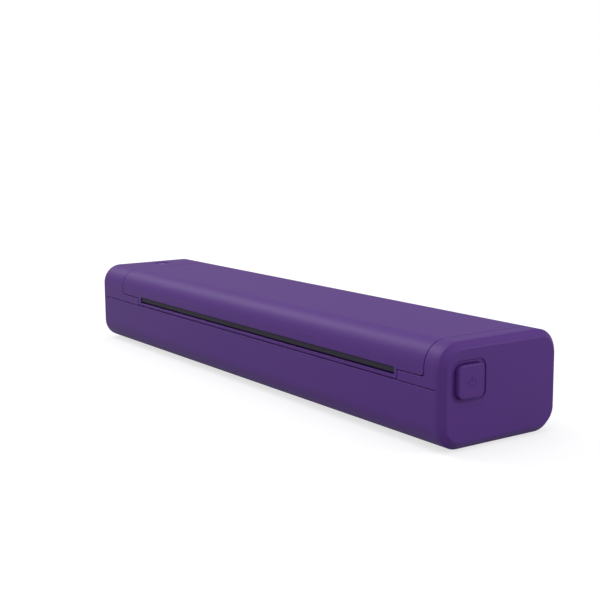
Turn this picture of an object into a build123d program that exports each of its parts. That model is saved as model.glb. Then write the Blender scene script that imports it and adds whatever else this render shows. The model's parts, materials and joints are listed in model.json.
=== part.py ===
from build123d import *
from math import atan2, cos, degrees, pi, radians, sin, sqrt, tan
import os

# Portable thermal stencil printer with a clamshell lid. Millimetres, +Z up.
# X runs along the length, with the power button on the +X end. The exit slot is on the -Y face.

# Shell
SHELL_LENGTH = 300.0
SHELL_DEPTH = 63.3
SHELL_HEIGHT = 42.4
SHELL_CORNER = 10.3
WALL = 2.2
PARTING_HEIGHT = 24.5
SEAM = 0.35
SEAM_DEPTH = 0.9
OVERRUN = 1.0

# End caps
CHAMFER_RUN = 2.7
CHAMFER_INSET = 2.8
CHAMFER_EASE = 0.8
CAP_SKIRT = 1.0
SPIGOT_DEPTH = 3.0
SPIGOT_WALL = 1.2
SPIGOT_CLEARANCE = 0.1

# Lid
LEFT_SECTION = 27.0
RIGHT_SECTION = 10.2
LEFT_LOWER_CORNER = 3.5
RIGHT_LOWER_CORNER = 1.8
STRIP_HEIGHT = 3.9
BULKHEAD = 1.5
LID_END_WALL = 1.4

# Paper path
PAPER_SIDE_ROOM = 2.9
PAPER_GAP = 0.3
SLOT_FROM_SEAM = 23.1
SLOT_FROM_RIGHT_SEAM = 18.0
SLOT_HEIGHT = 3.2
SLOT_ABOVE_PARTING = 1.6
TONGUE_LEFT_MARGIN = 3.5
TONGUE_RIGHT_MARGIN = 2.0
DECK_THICKNESS = 2.0
DECK_BELOW_SLOT = 0.1
DECK_WALL_GAP = 0.45
LIP_CHAMFER = 1.2
RIB_HEIGHT = 0.4
RIB_WIDTH = 1.2
RIB_COUNT = 9
RIB_SPREAD_SHARE = 0.945

# Platen
PLATEN_RADIUS = 5.5
PLATEN_CORE_RADIUS = 4.0
JOURNAL_RADIUS = 2.5
GEAR_SEAT_RADIUS = 2.0
PLATEN_SIDE_SPAN = 1.0
PLATEN_DEPTH_SHARE = 0.27883
BUSH_RADIUS = 4.0
NOTCH_CLEARANCE = 0.2
RUNNING_CLEARANCE = 0.05
SEAT_CLEARANCE = 0.02

# Print window, measured from the platen's axis
WINDOW_FRONT = 9.5
WINDOW_REAR = 9.5
WINDOW_LEFT_MARGIN = 1.5
WINDOW_RIGHT_MARGIN = 1.8

# Side plates and pan of the chassis
SHEET = 1.2
CHASSIS_STANDOFF = 1.2
PLATE_BELOW_DECK = 1.2
PLATE_GAP = 4.0
ARM_WIDTH = 3.0
ARM_GAP = 3.0
PLATE_HALF_DEPTH = 6.5
PLATE_ABOVE_AXIS = 2.3
PAN_FRONT = 9.0
PAN_REAR = 12.5

# Gears
MODULE = 0.5
PLATEN_TEETH = 24
IDLER_TEETH = 30
COMPOUND_SMALL_TEETH = 16
COMPOUND_LARGE_TEETH = 36
PINION_TEETH = 12
PRESSURE_ANGLE = 20.0
DEDENDUM_SHARE = 1.25
GEAR_WIDTH = 3.5
GEAR_SPACE = 0.5
CENTRE_EASE = 0.1
TOOTH_BACKLASH = 0.1
AXLE_RADIUS = 1.0
PLATEN_HUB_RADIUS = 3.15
IDLER_HUB_RADIUS = 1.7
COMPOUND_HUB_RADIUS = 2.4
CLIP_RADIUS = 1.9
CLIP_THICKNESS = 0.5
GEAR_FLOOR_GAP = 0.9

# Motor
MOTOR_RADIUS = 10.0
MOTOR_LENGTH = 15.0
MOTOR_SHAFT_RADIUS = 1.0
MOTOR_FLOOR_GAP = 0.6
MOTOR_BOSS_RADIUS = 3.0
MOTOR_EAR_REACH = 12.6
MOTOR_EAR_RADIUS = 2.6
MOTOR_EAR_TILT = 30.0
MOTOR_EAR_THICKNESS = 0.8
MOTOR_SCREW_RADIUS = 1.0

# Print head, measured from the platen's axis
HEAD_FRONT = 7.0
HEAD_REAR = 9.0
HEATSINK_THICKNESS = 2.4
CERAMIC_THICKNESS = 0.8
CERAMIC_FRONT = 5.0
CERAMIC_REAR = 6.5
HEATER_HEIGHT = 0.12
HEATER_HALF_WIDTH = 0.6
COVER_FRONT = 4.4
COVER_HEIGHT = 0.7
PIVOT_BEHIND = 9.0
PIVOT_DROP = 14.2
PIVOT_RADIUS = 1.5
PIVOT_EAR_RADIUS = 2.8
PIVOT_EAR_WIDTH = 4.0
PIVOT_EAR_SHARES = (0.08, 0.5, 0.92)
SPRING_RADIUS = 2.6
SPRING_WIRE = 0.7
SPRING_TURNS = 6
SPRING_SHARES = (0.17, 0.5, 0.83)
SPRING_GUIDE_HEIGHT = 3.0
SPRING_GUIDE_GAP = 0.35

# Lid liner
LINER_THICKNESS = 1.6
LINER_ABOVE_SLOT = 0.3
LINER_FRONT_GAP = 0.3
LINER_ROLLER_GAP = 1.4
ARM_HALF_DEPTH = 6.0
LINER_POST_RADIUS = 3.0
LINER_POST_SHARES = (0.1, 0.5, 0.9)
LINER_POST_FROM_REAR = 6.0
LINER_TOP_GAP = 0.3
FRONT_LIP_INSET = 0.5
FRONT_LIP_SIDE_GAP = 0.2
FRONT_LIP_TOP_GAP = 0.15
SHEET_GAP = 0.8

# Hinge, its height taken from the deck that carries it
HINGE_INSET = 4.0
HINGE_HEIGHT = 4.4
KNUCKLE_RADIUS = 3.2
KNUCKLE_GAP = 0.4
BASE_KNUCKLE = 6.0
LID_KNUCKLE = 4.4
KNUCKLE_FROM_SEAM = 1.6
REAR_EDGE_ABOVE_HINGE = 0.4
HINGE_PIN_RADIUS = 1.0

# Snap hooks of the lid
HOOK_WIDTH = 3.0
HOOK_THICKNESS = 1.6
HOOK_BARB = 0.8
HOOK_BARB_HEIGHT = 1.6
HOOK_FROM_SEAM = 2.0
HOOK_FROM_FRONT = 6.7
HOOK_CLEARANCE = 0.3

# Power button
BUTTON_SIZE = 13.2
BUTTON_CORNER = 2.6
BUTTON_EDGE = 0.6
BUTTON_PROUD = 1.7
BUTTON_FROM_FRONT = 13.95
BUTTON_HEIGHT = 27.1
BUTTON_CLEARANCE = 0.25
BUTTON_FLANGE = 1.0
BUTTON_FLANGE_THICKNESS = 1.0
BUTTON_TRAVEL = 0.6
BUTTON_MARK_RADIUS = 1.7
BUTTON_MARK_WIDTH = 0.4
BUTTON_MARK_DEPTH = 0.1
BUTTON_MARK_DROP = 0.5
RECESS_DEPTH = 0.5
RECESS_SIDE = 2.2
RECESS_RISE = 1.5
RECESS_CORNER = 3.6
RECESS_FLOOR = 1.9

# Switch behind the button
SWITCH_SIZE = 4.5
SWITCH_THICKNESS = 1.6
PLUNGER_RADIUS = 1.2
PLUNGER_IN_SWITCH = 0.8
SMALL_BOARD = 1.0
STAKE_RADIUS = 0.8
STAKE_SHARE = 0.36
STAKE_PROUD = 0.4

# Indicator on the left section
INDICATOR_FROM_END = 13.5
INDICATOR_Y = 1.3
DISH_RADIUS = 4.4
DISH_DEPTH = 0.45
LENS_RADIUS = 2.0
LENS_GAP = 0.15
LENS_BELOW = 0.1
LED_SIZE = 1.8
LED_HEIGHT = 0.9
LENS_FLANGE = 0.8
LENS_FLANGE_THICKNESS = 0.8

# Boards
BOARD = 1.6
STANDOFF_RADIUS = 2.2
CHARGE_BOARD_HEIGHT = 9.0
CHARGE_BOARD_WIDTH = 26.0
CHARGE_BOARD_LENGTH = 18.0
MAIN_BOARD_FROM_CRADLE = 3.3
MAIN_BOARD_FROM_PAN = 4.5
MAIN_BOARD_FROM_WALL = 4.45
MAIN_BOARD_STANDOFF = 5.0
MAIN_BOARD_FROM_SEAM = 13.0
TALLEST_PART = 4.0
CAPACITOR_RADIUS_SHARE = 0.03
CAPACITOR_SHARES = (0.42, 0.83)
CAPACITOR_Y_SHARE = 0.75

# Parts of the main board: place along it and across it, length and width on it, height
CHIP_SHARES = (
    (0.3, 0.45, 0.125, 0.41, 0.3),
    (0.55, 0.4, 0.084, 0.23, 0.35),
    (0.72, 0.6, 0.098, 0.32, 0.88),
    (0.08, 0.4, 0.049, 0.41, 1),
    (0.91, 0.35, 0.049, 0.32, 1))

# Paper sensor
SENSOR_FROM_MIDDLE = 8.0
SENSOR_LENGTH = 4.5
SENSOR_WIDTH = 3.2
SENSOR_DEPTH = 1.6
SENSOR_FLANGE = 0.9

# USB-C socket
USB_WIDTH = 8.94
USB_HEIGHT = 3.16
USB_LENGTH = 7.3
USB_WALL = 0.3
USB_TONGUE_WIDTH = 6.69
USB_TONGUE_THICKNESS = 0.7
USB_TONGUE_SETBACK = 1.0
USB_CLEARANCE = 0.35
USB_MOUTH_SETBACK = 0.6
USB_FLARE = 0.5

# Battery
CELL_RADIUS = 9.2
CELL_LENGTH = 65.0
CELL_BUTTON_RADIUS = 3.0
CELL_BUTTON_HEIGHT = 1.0
CELL_GAP = 2.0
CELL_FLOOR_GAP = 0.8
CELL_WALL_GAP = 2.65
CELL_FROM_MOTOR = 9.0
CRADLE_HALF_WIDTH = 6.5
CRADLE_HEIGHT = 5.0
CRADLE_END = 1.6
CRADLE_CLEARANCE = 0.15

# Feet and screws
FOOT_RADIUS = 4.5
FOOT_PROUD = 0.6
FOOT_RECESS = 0.8
FOOT_CLEARANCE = 0.1
FOOT_FROM_END = 29.0
FOOT_FROM_CORNER = 1.85
CASE_SCREW_Y = 18.0
CASE_SCREW_FROM_END = 11.0
CASE_BOSS_RADIUS = 3.0
SCREW_RADIUS = 1.2
SCREW_HEAD_RADIUS = 2.1
SCREW_HEAD_HEIGHT = 1.4
SCREW_BITE = 6.0
SCREW_HOLE_EASE = 0.05
SCREW_SLOT_WIDTH = 0.6
SCREW_SLOT_DEPTH = 0.7
BOSS_JOINT_HEIGHT = 14.0
SCREW_SEAT = 2.0
SMALL_SCREW_RADIUS = 0.9
SMALL_SCREW_HEAD_RADIUS = 1.7
SMALL_SCREW_HEAD_HEIGHT = 1.1
SMALL_SCREW_LENGTH = 3.4

# Places that follow from the sizes above
SHELL_LEFT = -(SHELL_LENGTH + BUTTON_PROUD) / 2
SHELL_RIGHT = SHELL_LEFT + SHELL_LENGTH
FRONT = -SHELL_DEPTH / 2
REAR = SHELL_DEPTH / 2
SHELL_BOTTOM = FOOT_PROUD
SHELL_TOP = SHELL_BOTTOM + SHELL_HEIGHT
SHELL_MIDDLE = SHELL_BOTTOM + SHELL_HEIGHT / 2
FLOOR = SHELL_BOTTOM + WALL
PARTING = SHELL_BOTTOM + PARTING_HEIGHT
BODY_LEFT = SHELL_LEFT + CHAMFER_RUN + CAP_SKIRT
BODY_RIGHT = SHELL_RIGHT - CHAMFER_RUN - CAP_SKIRT
BODY_X = (BODY_LEFT, BODY_RIGHT)
CEILING = SHELL_TOP - WALL

LID_LEFT = SHELL_LEFT + LEFT_SECTION
LID_RIGHT = SHELL_RIGHT - RIGHT_SECTION
STRIP_TOP = PARTING + STRIP_HEIGHT
SLOT_LEFT = LID_LEFT + SLOT_FROM_SEAM
SLOT_RIGHT = LID_RIGHT - SLOT_FROM_RIGHT_SEAM
PAPER_WIDTH = SLOT_RIGHT - SLOT_LEFT - 2 * PAPER_SIDE_ROOM
PAPER_MIDDLE = (SLOT_LEFT + SLOT_RIGHT) / 2
SLOT_LOW = PARTING + SLOT_ABOVE_PARTING
SLOT_HIGH = SLOT_LOW + SLOT_HEIGHT
TONGUE_LEFT = SLOT_LEFT - TONGUE_LEFT_MARGIN
TONGUE_RIGHT = SLOT_RIGHT + TONGUE_RIGHT_MARGIN
DECK_TOP = SLOT_LOW - DECK_BELOW_SLOT
DECK_LOW = DECK_TOP - DECK_THICKNESS
DECK_Z = (DECK_LOW, DECK_TOP)

HOOK_Y = (FRONT + HOOK_FROM_FRONT, FRONT + HOOK_FROM_FRONT + HOOK_THICKNESS)
PLATEN_Y = FRONT + SHELL_DEPTH * PLATEN_DEPTH_SHARE
NIP_Z = (SLOT_LOW + SLOT_HIGH) / 2
PLATEN_Z = NIP_Z + PLATEN_RADIUS
ROLLER_LEFT = SLOT_LEFT + PLATEN_SIDE_SPAN
ROLLER_RIGHT = SLOT_RIGHT - PLATEN_SIDE_SPAN
LEFT_ARM = (ROLLER_LEFT - ARM_GAP - ARM_WIDTH, ROLLER_LEFT - ARM_GAP)
RIGHT_ARM = (ROLLER_RIGHT + PLATEN_SIDE_SPAN, ROLLER_RIGHT + PLATEN_SIDE_SPAN + ARM_WIDTH)
LEFT_PLATE = (LEFT_ARM[0] - PLATE_GAP - SHEET, LEFT_ARM[0] - PLATE_GAP)
RIGHT_PLATE = (RIGHT_ARM[1] + SHEET, RIGHT_ARM[1] + 2 * SHEET)

OUTER_GEARS = (LEFT_PLATE[0] - 2 * GEAR_WIDTH - 2 * GEAR_SPACE, LEFT_PLATE[0] - GEAR_WIDTH - 2 * GEAR_SPACE)
INNER_GEARS = (LEFT_PLATE[0] - GEAR_WIDTH - GEAR_SPACE, LEFT_PLATE[0] - GEAR_SPACE)
AXLE_LEFT = OUTER_GEARS[0] - 2 * CLIP_THICKNESS
WINDOW_LEFT = AXLE_LEFT - WINDOW_LEFT_MARGIN
WINDOW_RIGHT = RIGHT_PLATE[1] + WINDOW_RIGHT_MARGIN

HINGE_Y = REAR - HINGE_INSET
HINGE_Z = DECK_TOP + HINGE_HEIGHT
REAR_EDGE = HINGE_Z + REAR_EDGE_ABOVE_HINGE


# Solids from low and high ends


def block(x, y, z):
    """A box between the low and high ends of each axis."""
    spans = (x, y, z)
    sizes = [high - low for low, high in spans]
    middles = [(high + low) / 2 for low, high in spans]
    return Pos(*middles) * Box(*sizes)


def rod(radius, x, y, z):
    """A round bar along X between the two ends in x."""
    return Pos((x[0] + x[1]) / 2, y, z) * Rot(0, 90, 0) * Cylinder(radius, x[1] - x[0])


def post(radius, x, y, z):
    """An upright round bar between the two heights in z."""
    return Pos(x, y, (z[0] + z[1]) / 2) * Cylinder(radius, z[1] - z[0])


def around(centre, half):
    """The low and high end of a span that is centred on a place."""
    return (centre - half, centre + half)


def past(span):
    """A span lengthened at both ends, for cuts."""
    return (span[0] - OVERRUN, span[1] + OVERRUN)


def along(share, span):
    """The place at a share of a span."""
    return span[0] + share * (span[1] - span[0])


def joined(pieces):
    """One solid from several that touch."""
    whole = pieces[0]
    for piece in pieces[1:]:
        whole = whole + piece
    return whole


def section(x, inset):
    """The shell's rounded outline, drawn in by an inset, at a place along X."""
    outline = RectangleRounded(SHELL_DEPTH - 2 * inset, SHELL_HEIGHT - 2 * inset, SHELL_CORNER - inset)
    return Plane.YZ.offset(x) * Pos(0, SHELL_MIDDLE) * outline


def shell_bar(x, inset=0):
    """A bar with the shell's outline, drawn in by an inset, between the two ends in x."""
    return extrude(section(x[0], inset), amount=x[1] - x[0])


def shell_tube(x, wall=WALL):
    """The shell's wall between the two ends in x."""
    return shell_bar(x) - shell_bar(past(x), wall)


def half_space(z, y=(2 * FRONT, 2 * REAR)):
    """A block over the whole length, between two heights."""
    return block((2 * SHELL_LEFT, 2 * SHELL_RIGHT), y, z)


# Screws


def screw(radius, head_radius, head_height, length):
    """A pan-head screw with a cross slot: the head above the origin, the shank below it."""
    body = post(head_radius, 0, 0, (0, head_height)) + post(radius, 0, 0, (-length, 0))
    reach = head_radius / sqrt(2)
    slot_z = (head_height - SCREW_SLOT_DEPTH, head_height + OVERRUN)
    for x, y in ((reach, SCREW_SLOT_WIDTH / 2), (SCREW_SLOT_WIDTH / 2, reach)):
        body = body - block(around(0, x), around(0, y), slot_z)
    return body


def case_screw():
    """A screw that closes the case from below."""
    length = BOSS_JOINT_HEIGHT - WALL - SCREW_SEAT - SCREW_HEAD_HEIGHT + SCREW_BITE
    return screw(SCREW_RADIUS, SCREW_HEAD_RADIUS, SCREW_HEAD_HEIGHT, length)


def small_screw(length=SMALL_SCREW_LENGTH):
    """A screw that holds a board, the chassis, the motor or the liner."""
    return screw(SMALL_SCREW_RADIUS, SMALL_SCREW_HEAD_RADIUS, SMALL_SCREW_HEAD_HEIGHT, length)


# Lid outline


def lid_prism(gap):
    """The space that the lid fills, drawn in by a gap: the front half steps down to the tongue."""
    left, right = LID_LEFT + gap, LID_RIGHT - gap
    strip = STRIP_TOP + gap
    above = SHELL_TOP + OVERRUN
    tongue_left, tongue_right = TONGUE_LEFT + gap, TONGUE_RIGHT - gap
    foot = PARTING + gap
    points = [
        (left, above), (left, strip), (tongue_left, strip), (tongue_left, foot),
        (tongue_right, foot), (tongue_right, strip), (right, strip), (right, above)]
    face = make_face(Polyline(*points, close=True))
    lower = face.vertices().group_by(Axis.Y)[1].sort_by(Axis.X)
    face = fillet(lower[0], LEFT_LOWER_CORNER)
    lower = face.vertices().group_by(Axis.Y)[1].sort_by(Axis.X)
    face = fillet(lower[-1], RIGHT_LOWER_CORNER)
    front_half = extrude(Plane.XZ * face, amount=-FRONT + OVERRUN)
    rear_half = block((left, right), (0, REAR + OVERRUN), (REAR_EDGE, above))
    return front_half + rear_half


# Hinge: one knuckle of the case between two of the lid, outside the paper's width at each end


def knuckle_spans():
    """For each hinge, the spans of its case knuckle and of its two lid knuckles."""
    left = LID_LEFT + KNUCKLE_FROM_SEAM
    right = LID_RIGHT - KNUCKLE_FROM_SEAM
    spans = []
    for start in (left, right - BASE_KNUCKLE - 2 * LID_KNUCKLE - 2 * KNUCKLE_GAP):
        case_start = start + LID_KNUCKLE + KNUCKLE_GAP
        case_end = case_start + BASE_KNUCKLE
        far = case_end + KNUCKLE_GAP
        spans.append(((case_start, case_end), (start, start + LID_KNUCKLE), (far, far + LID_KNUCKLE)))
    return spans


HINGES = knuckle_spans()


# Screws of the case


CASE_SCREWS = [
    (SHELL_LEFT + CASE_SCREW_FROM_END, -CASE_SCREW_Y), (SHELL_LEFT + CASE_SCREW_FROM_END, CASE_SCREW_Y),
    (LID_RIGHT - CASE_BOSS_RADIUS - SPIGOT_DEPTH, -CASE_SCREW_Y),
    (LID_RIGHT - CASE_BOSS_RADIUS - SPIGOT_DEPTH, CASE_SCREW_Y)]
SCREW_HOLE = SCREW_RADIUS + SCREW_HOLE_EASE
SMALL_SCREW_HOLE = SMALL_SCREW_RADIUS + SCREW_HOLE_EASE
BOSS_JOINT = SHELL_BOTTOM + BOSS_JOINT_HEIGHT
SCREW_HEAD_SEAT = SHELL_BOTTOM + WALL + SCREW_HEAD_HEIGHT
PAN_Z = (FLOOR + CHASSIS_STANDOFF, FLOOR + CHASSIS_STANDOFF + SHEET)
PAN_Y = (PLATEN_Y - PAN_FRONT, PLATEN_Y + PAN_REAR)
CHASSIS_SCREWS = [
    (x, y) for x in (LEFT_PLATE[1] + 3 * CASE_BOSS_RADIUS, RIGHT_PLATE[0] - 3 * CASE_BOSS_RADIUS)
    for y in (PAN_Y[0] + STANDOFF_RADIUS, PAN_Y[1] - STANDOFF_RADIUS)]
FOOT_Y = REAR - SHELL_CORNER - FOOT_RADIUS - FOOT_FROM_CORNER
FEET = [
    (x, y) for x in (SHELL_LEFT + FOOT_FROM_END, SHELL_RIGHT - FOOT_FROM_END) for y in (-FOOT_Y, FOOT_Y)]

# Battery
MOTOR_X = (LEFT_PLATE[1], LEFT_PLATE[1] + MOTOR_LENGTH)
CELL_Y = REAR - WALL - CELL_WALL_GAP - CELL_RADIUS
CELL_Z = FLOOR + CELL_FLOOR_GAP + CELL_RADIUS
CELL_START = MOTOR_X[1] + CELL_FROM_MOTOR
CELLS = [CELL_START + index * (CELL_LENGTH + CELL_BUTTON_HEIGHT + CELL_GAP) for index in range(2)]
CELLS_END = CELLS[1] + CELL_LENGTH + CELL_BUTTON_HEIGHT
CRADLE_X = (CELLS[0] - CRADLE_END - CELL_FLOOR_GAP, CELLS_END + CRADLE_END + CELL_FLOOR_GAP)

# Boards
MAIN_X = (CRADLE_X[1] + MAIN_BOARD_FROM_CRADLE, LID_RIGHT - MAIN_BOARD_FROM_SEAM)
MAIN_Y = (PAN_Y[1] + MAIN_BOARD_FROM_PAN, REAR - WALL - MAIN_BOARD_FROM_WALL)
MAIN_Z = (FLOOR + MAIN_BOARD_STANDOFF, FLOOR + MAIN_BOARD_STANDOFF + BOARD)
MAIN_FIXINGS = [
    (x, y) for x in (MAIN_X[0] + STANDOFF_RADIUS, MAIN_X[1] - STANDOFF_RADIUS)
    for y in (MAIN_Y[0] + STANDOFF_RADIUS, MAIN_Y[1] - 2 * STANDOFF_RADIUS)]
CAP_PLATE = WALL
CHARGE_LEFT = SHELL_LEFT + CAP_PLATE + SPIGOT_DEPTH
CHARGE_X = (CHARGE_LEFT, CHARGE_LEFT + CHARGE_BOARD_LENGTH)
CHARGE_Y = around(0, CHARGE_BOARD_WIDTH / 2)
CHARGE_Z = (FLOOR + CHARGE_BOARD_HEIGHT - BOARD, FLOOR + CHARGE_BOARD_HEIGHT)
CHARGE_FIXINGS = [
    (CHARGE_X[1] - STANDOFF_RADIUS, y)
    for y in (CHARGE_Y[0] + STANDOFF_RADIUS, CHARGE_Y[1] - STANDOFF_RADIUS)]
USB_Z = (CHARGE_Z[1], CHARGE_Z[1] + USB_HEIGHT)
USB_X = (SHELL_LEFT + USB_MOUTH_SETBACK, SHELL_LEFT + USB_MOUTH_SETBACK + USB_LENGTH)
USB_MIDDLE = (USB_Z[0] + USB_Z[1]) / 2
INDICATOR_X = SHELL_LEFT + INDICATOR_FROM_END

# Button
BUTTON_Y = FRONT + BUTTON_FROM_FRONT
BUTTON_Z = SHELL_BOTTOM + BUTTON_HEIGHT
RECESS_X = SHELL_RIGHT - RECESS_DEPTH
PLATE_INNER = RECESS_X - RECESS_FLOOR
BOARD_X = (LID_RIGHT + BULKHEAD, LID_RIGHT + BULKHEAD + SMALL_BOARD)
SWITCH_X = (BOARD_X[1], BOARD_X[1] + SWITCH_THICKNESS)
SWITCH_BOARD_HALF = BUTTON_SIZE / 2 + BUTTON_FLANGE

# Gear places, in the plane across the length
SMALL_PITCH = COMPOUND_SMALL_TEETH * MODULE / 2
LARGE_PITCH = COMPOUND_LARGE_TEETH * MODULE / 2
IDLER_PITCH = IDLER_TEETH * MODULE / 2
PLATEN_PITCH = PLATEN_TEETH * MODULE / 2
PINION_PITCH = PINION_TEETH * MODULE / 2
IDLER_Y = PLATEN_Y
IDLER_Z = PLATEN_Z - PLATEN_PITCH - IDLER_PITCH - CENTRE_EASE
COMPOUND_Z = FLOOR + GEAR_FLOOR_GAP + LARGE_PITCH + MODULE
COMPOUND_REACH = SMALL_PITCH + IDLER_PITCH + CENTRE_EASE
COMPOUND_Y = IDLER_Y + sqrt(COMPOUND_REACH ** 2 - (IDLER_Z - COMPOUND_Z) ** 2)
MOTOR_Z = FLOOR + MOTOR_FLOOR_GAP + MOTOR_RADIUS
MOTOR_REACH = LARGE_PITCH + PINION_PITCH + CENTRE_EASE
MOTOR_Y = COMPOUND_Y + sqrt(MOTOR_REACH ** 2 - (MOTOR_Z - COMPOUND_Z) ** 2)
EAR_Y = MOTOR_EAR_REACH * cos(radians(MOTOR_EAR_TILT))
EAR_Z = MOTOR_EAR_REACH * sin(radians(MOTOR_EAR_TILT))
MOTOR_EARS = [(MOTOR_Y - EAR_Y, MOTOR_Z - EAR_Z), (MOTOR_Y + EAR_Y, MOTOR_Z + EAR_Z)]

# Print head
HEAD_X = (ROLLER_LEFT - PLATEN_SIDE_SPAN, ROLLER_RIGHT + PLATEN_SIDE_SPAN)
CERAMIC_TOP = PLATEN_Z - PLATEN_RADIUS - PAPER_GAP - HEATER_HEIGHT
CERAMIC_LOW = CERAMIC_TOP - CERAMIC_THICKNESS
HEATSINK_LOW = CERAMIC_LOW - HEATSINK_THICKNESS
PIVOT_Y = PLATEN_Y + PIVOT_BEHIND
PIVOT_Z = PLATEN_Z - PIVOT_DROP
PIVOT_EARS = [around(along(share, HEAD_X), PIVOT_EAR_WIDTH / 2) for share in PIVOT_EAR_SHARES]
SPRING_PLACES = [along(share, HEAD_X) for share in SPRING_SHARES]

# Upper paper guide and the sensor in the deck
LINER_Z = (SLOT_HIGH + LINER_ABOVE_SLOT, SLOT_HIGH + LINER_ABOVE_SLOT + LINER_THICKNESS)
LINER_X = (LEFT_ARM[0], RIGHT_ARM[1])
LINER_POST_Y = HINGE_Y - KNUCKLE_RADIUS - LINER_POST_FROM_REAR
LINER_POSTS = [(along(share, LINER_X), LINER_POST_Y) for share in LINER_POST_SHARES]
LINER_POST_JOINT = LINER_Z[1] + LINER_THICKNESS
SENSOR_X = around(PAPER_MIDDLE - SENSOR_FROM_MIDDLE, SENSOR_LENGTH / 2)
SENSOR_Y = around((PLATEN_Y + WINDOW_REAR + MAIN_Y[0]) / 2, SENSOR_WIDTH / 2)


# Case


def seam_groove():
    """The shadow line along the parting of the case, cut in the lower half's rim."""
    height = (PARTING - SEAM, PARTING + OVERRUN)
    rim = shell_bar(BODY_X) - shell_bar(past(BODY_X), SEAM_DEPTH)
    return rim & half_space(height)


def bottom_housing():
    tub = shell_tube(BODY_X) & half_space((SHELL_BOTTOM - OVERRUN, PARTING))
    tub = tub - seam_groove()
    pads = [post(CASE_BOSS_RADIUS, x, y, (FLOOR - SEAM, BOSS_JOINT)) for x, y in CASE_SCREWS]
    pads += [post(STANDOFF_RADIUS, x, y, (FLOOR - SEAM, PAN_Z[0])) for x, y in CHASSIS_SCREWS]
    pads += [post(STANDOFF_RADIUS, x, y, (FLOOR - SEAM, MAIN_Z[0])) for x, y in MAIN_FIXINGS]
    pads += [post(STANDOFF_RADIUS, x, y, (FLOOR - SEAM, CHARGE_Z[0])) for x, y in CHARGE_FIXINGS]
    tub = joined([tub] + pads)
    for x, y in CASE_SCREWS:
        counterbore = (SHELL_BOTTOM - OVERRUN, SCREW_HEAD_SEAT)
        tub = tub - post(SCREW_HEAD_RADIUS + SCREW_HOLE_EASE, x, y, counterbore)
        tub = tub - post(SCREW_HOLE, x, y, (SHELL_BOTTOM, BOSS_JOINT + OVERRUN))
    for x, y in CHASSIS_SCREWS + MAIN_FIXINGS + CHARGE_FIXINGS:
        tub = tub - post(SMALL_SCREW_HOLE, x, y, (FLOOR, PARTING))
    for x, y in FEET:
        recess = (SHELL_BOTTOM - OVERRUN, SHELL_BOTTOM + FOOT_RECESS)
        tub = tub - post(FOOT_RADIUS + FOOT_CLEARANCE, x, y, recess)
    return tub


def deck():
    """The plate under the paper, with guide ribs and the flared lip of the inlet."""
    inside = shell_bar((BODY_LEFT + SPIGOT_DEPTH + SEAM, LID_RIGHT + BULKHEAD), WALL + DECK_WALL_GAP)
    plate = inside & half_space((DECK_LOW, DECK_TOP))
    rear_lip = shell_bar((LID_LEFT, LID_RIGHT)) & half_space((PARTING, DECK_TOP), (0, REAR))
    plate = plate + rear_lip
    top_edges = plate.edges().filter_by(Axis.X).filter_by_position(Axis.Z, DECK_TOP, DECK_TOP)
    plate = chamfer(top_edges.sort_by(Axis.Y)[-1], LIP_CHAMFER)
    ribs_from = PLATEN_Y + WINDOW_REAR
    spread = PAPER_WIDTH * RIB_SPREAD_SHARE
    for index in range(RIB_COUNT):
        x = PAPER_MIDDLE + spread * (index / (RIB_COUNT - 1) - 1 / 2)
        rib = block(around(x, RIB_WIDTH / 2), (ribs_from, HINGE_Y), (DECK_TOP - SEAM, DECK_TOP + RIB_HEIGHT))
        plate = plate + rib
    return plate


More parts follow.
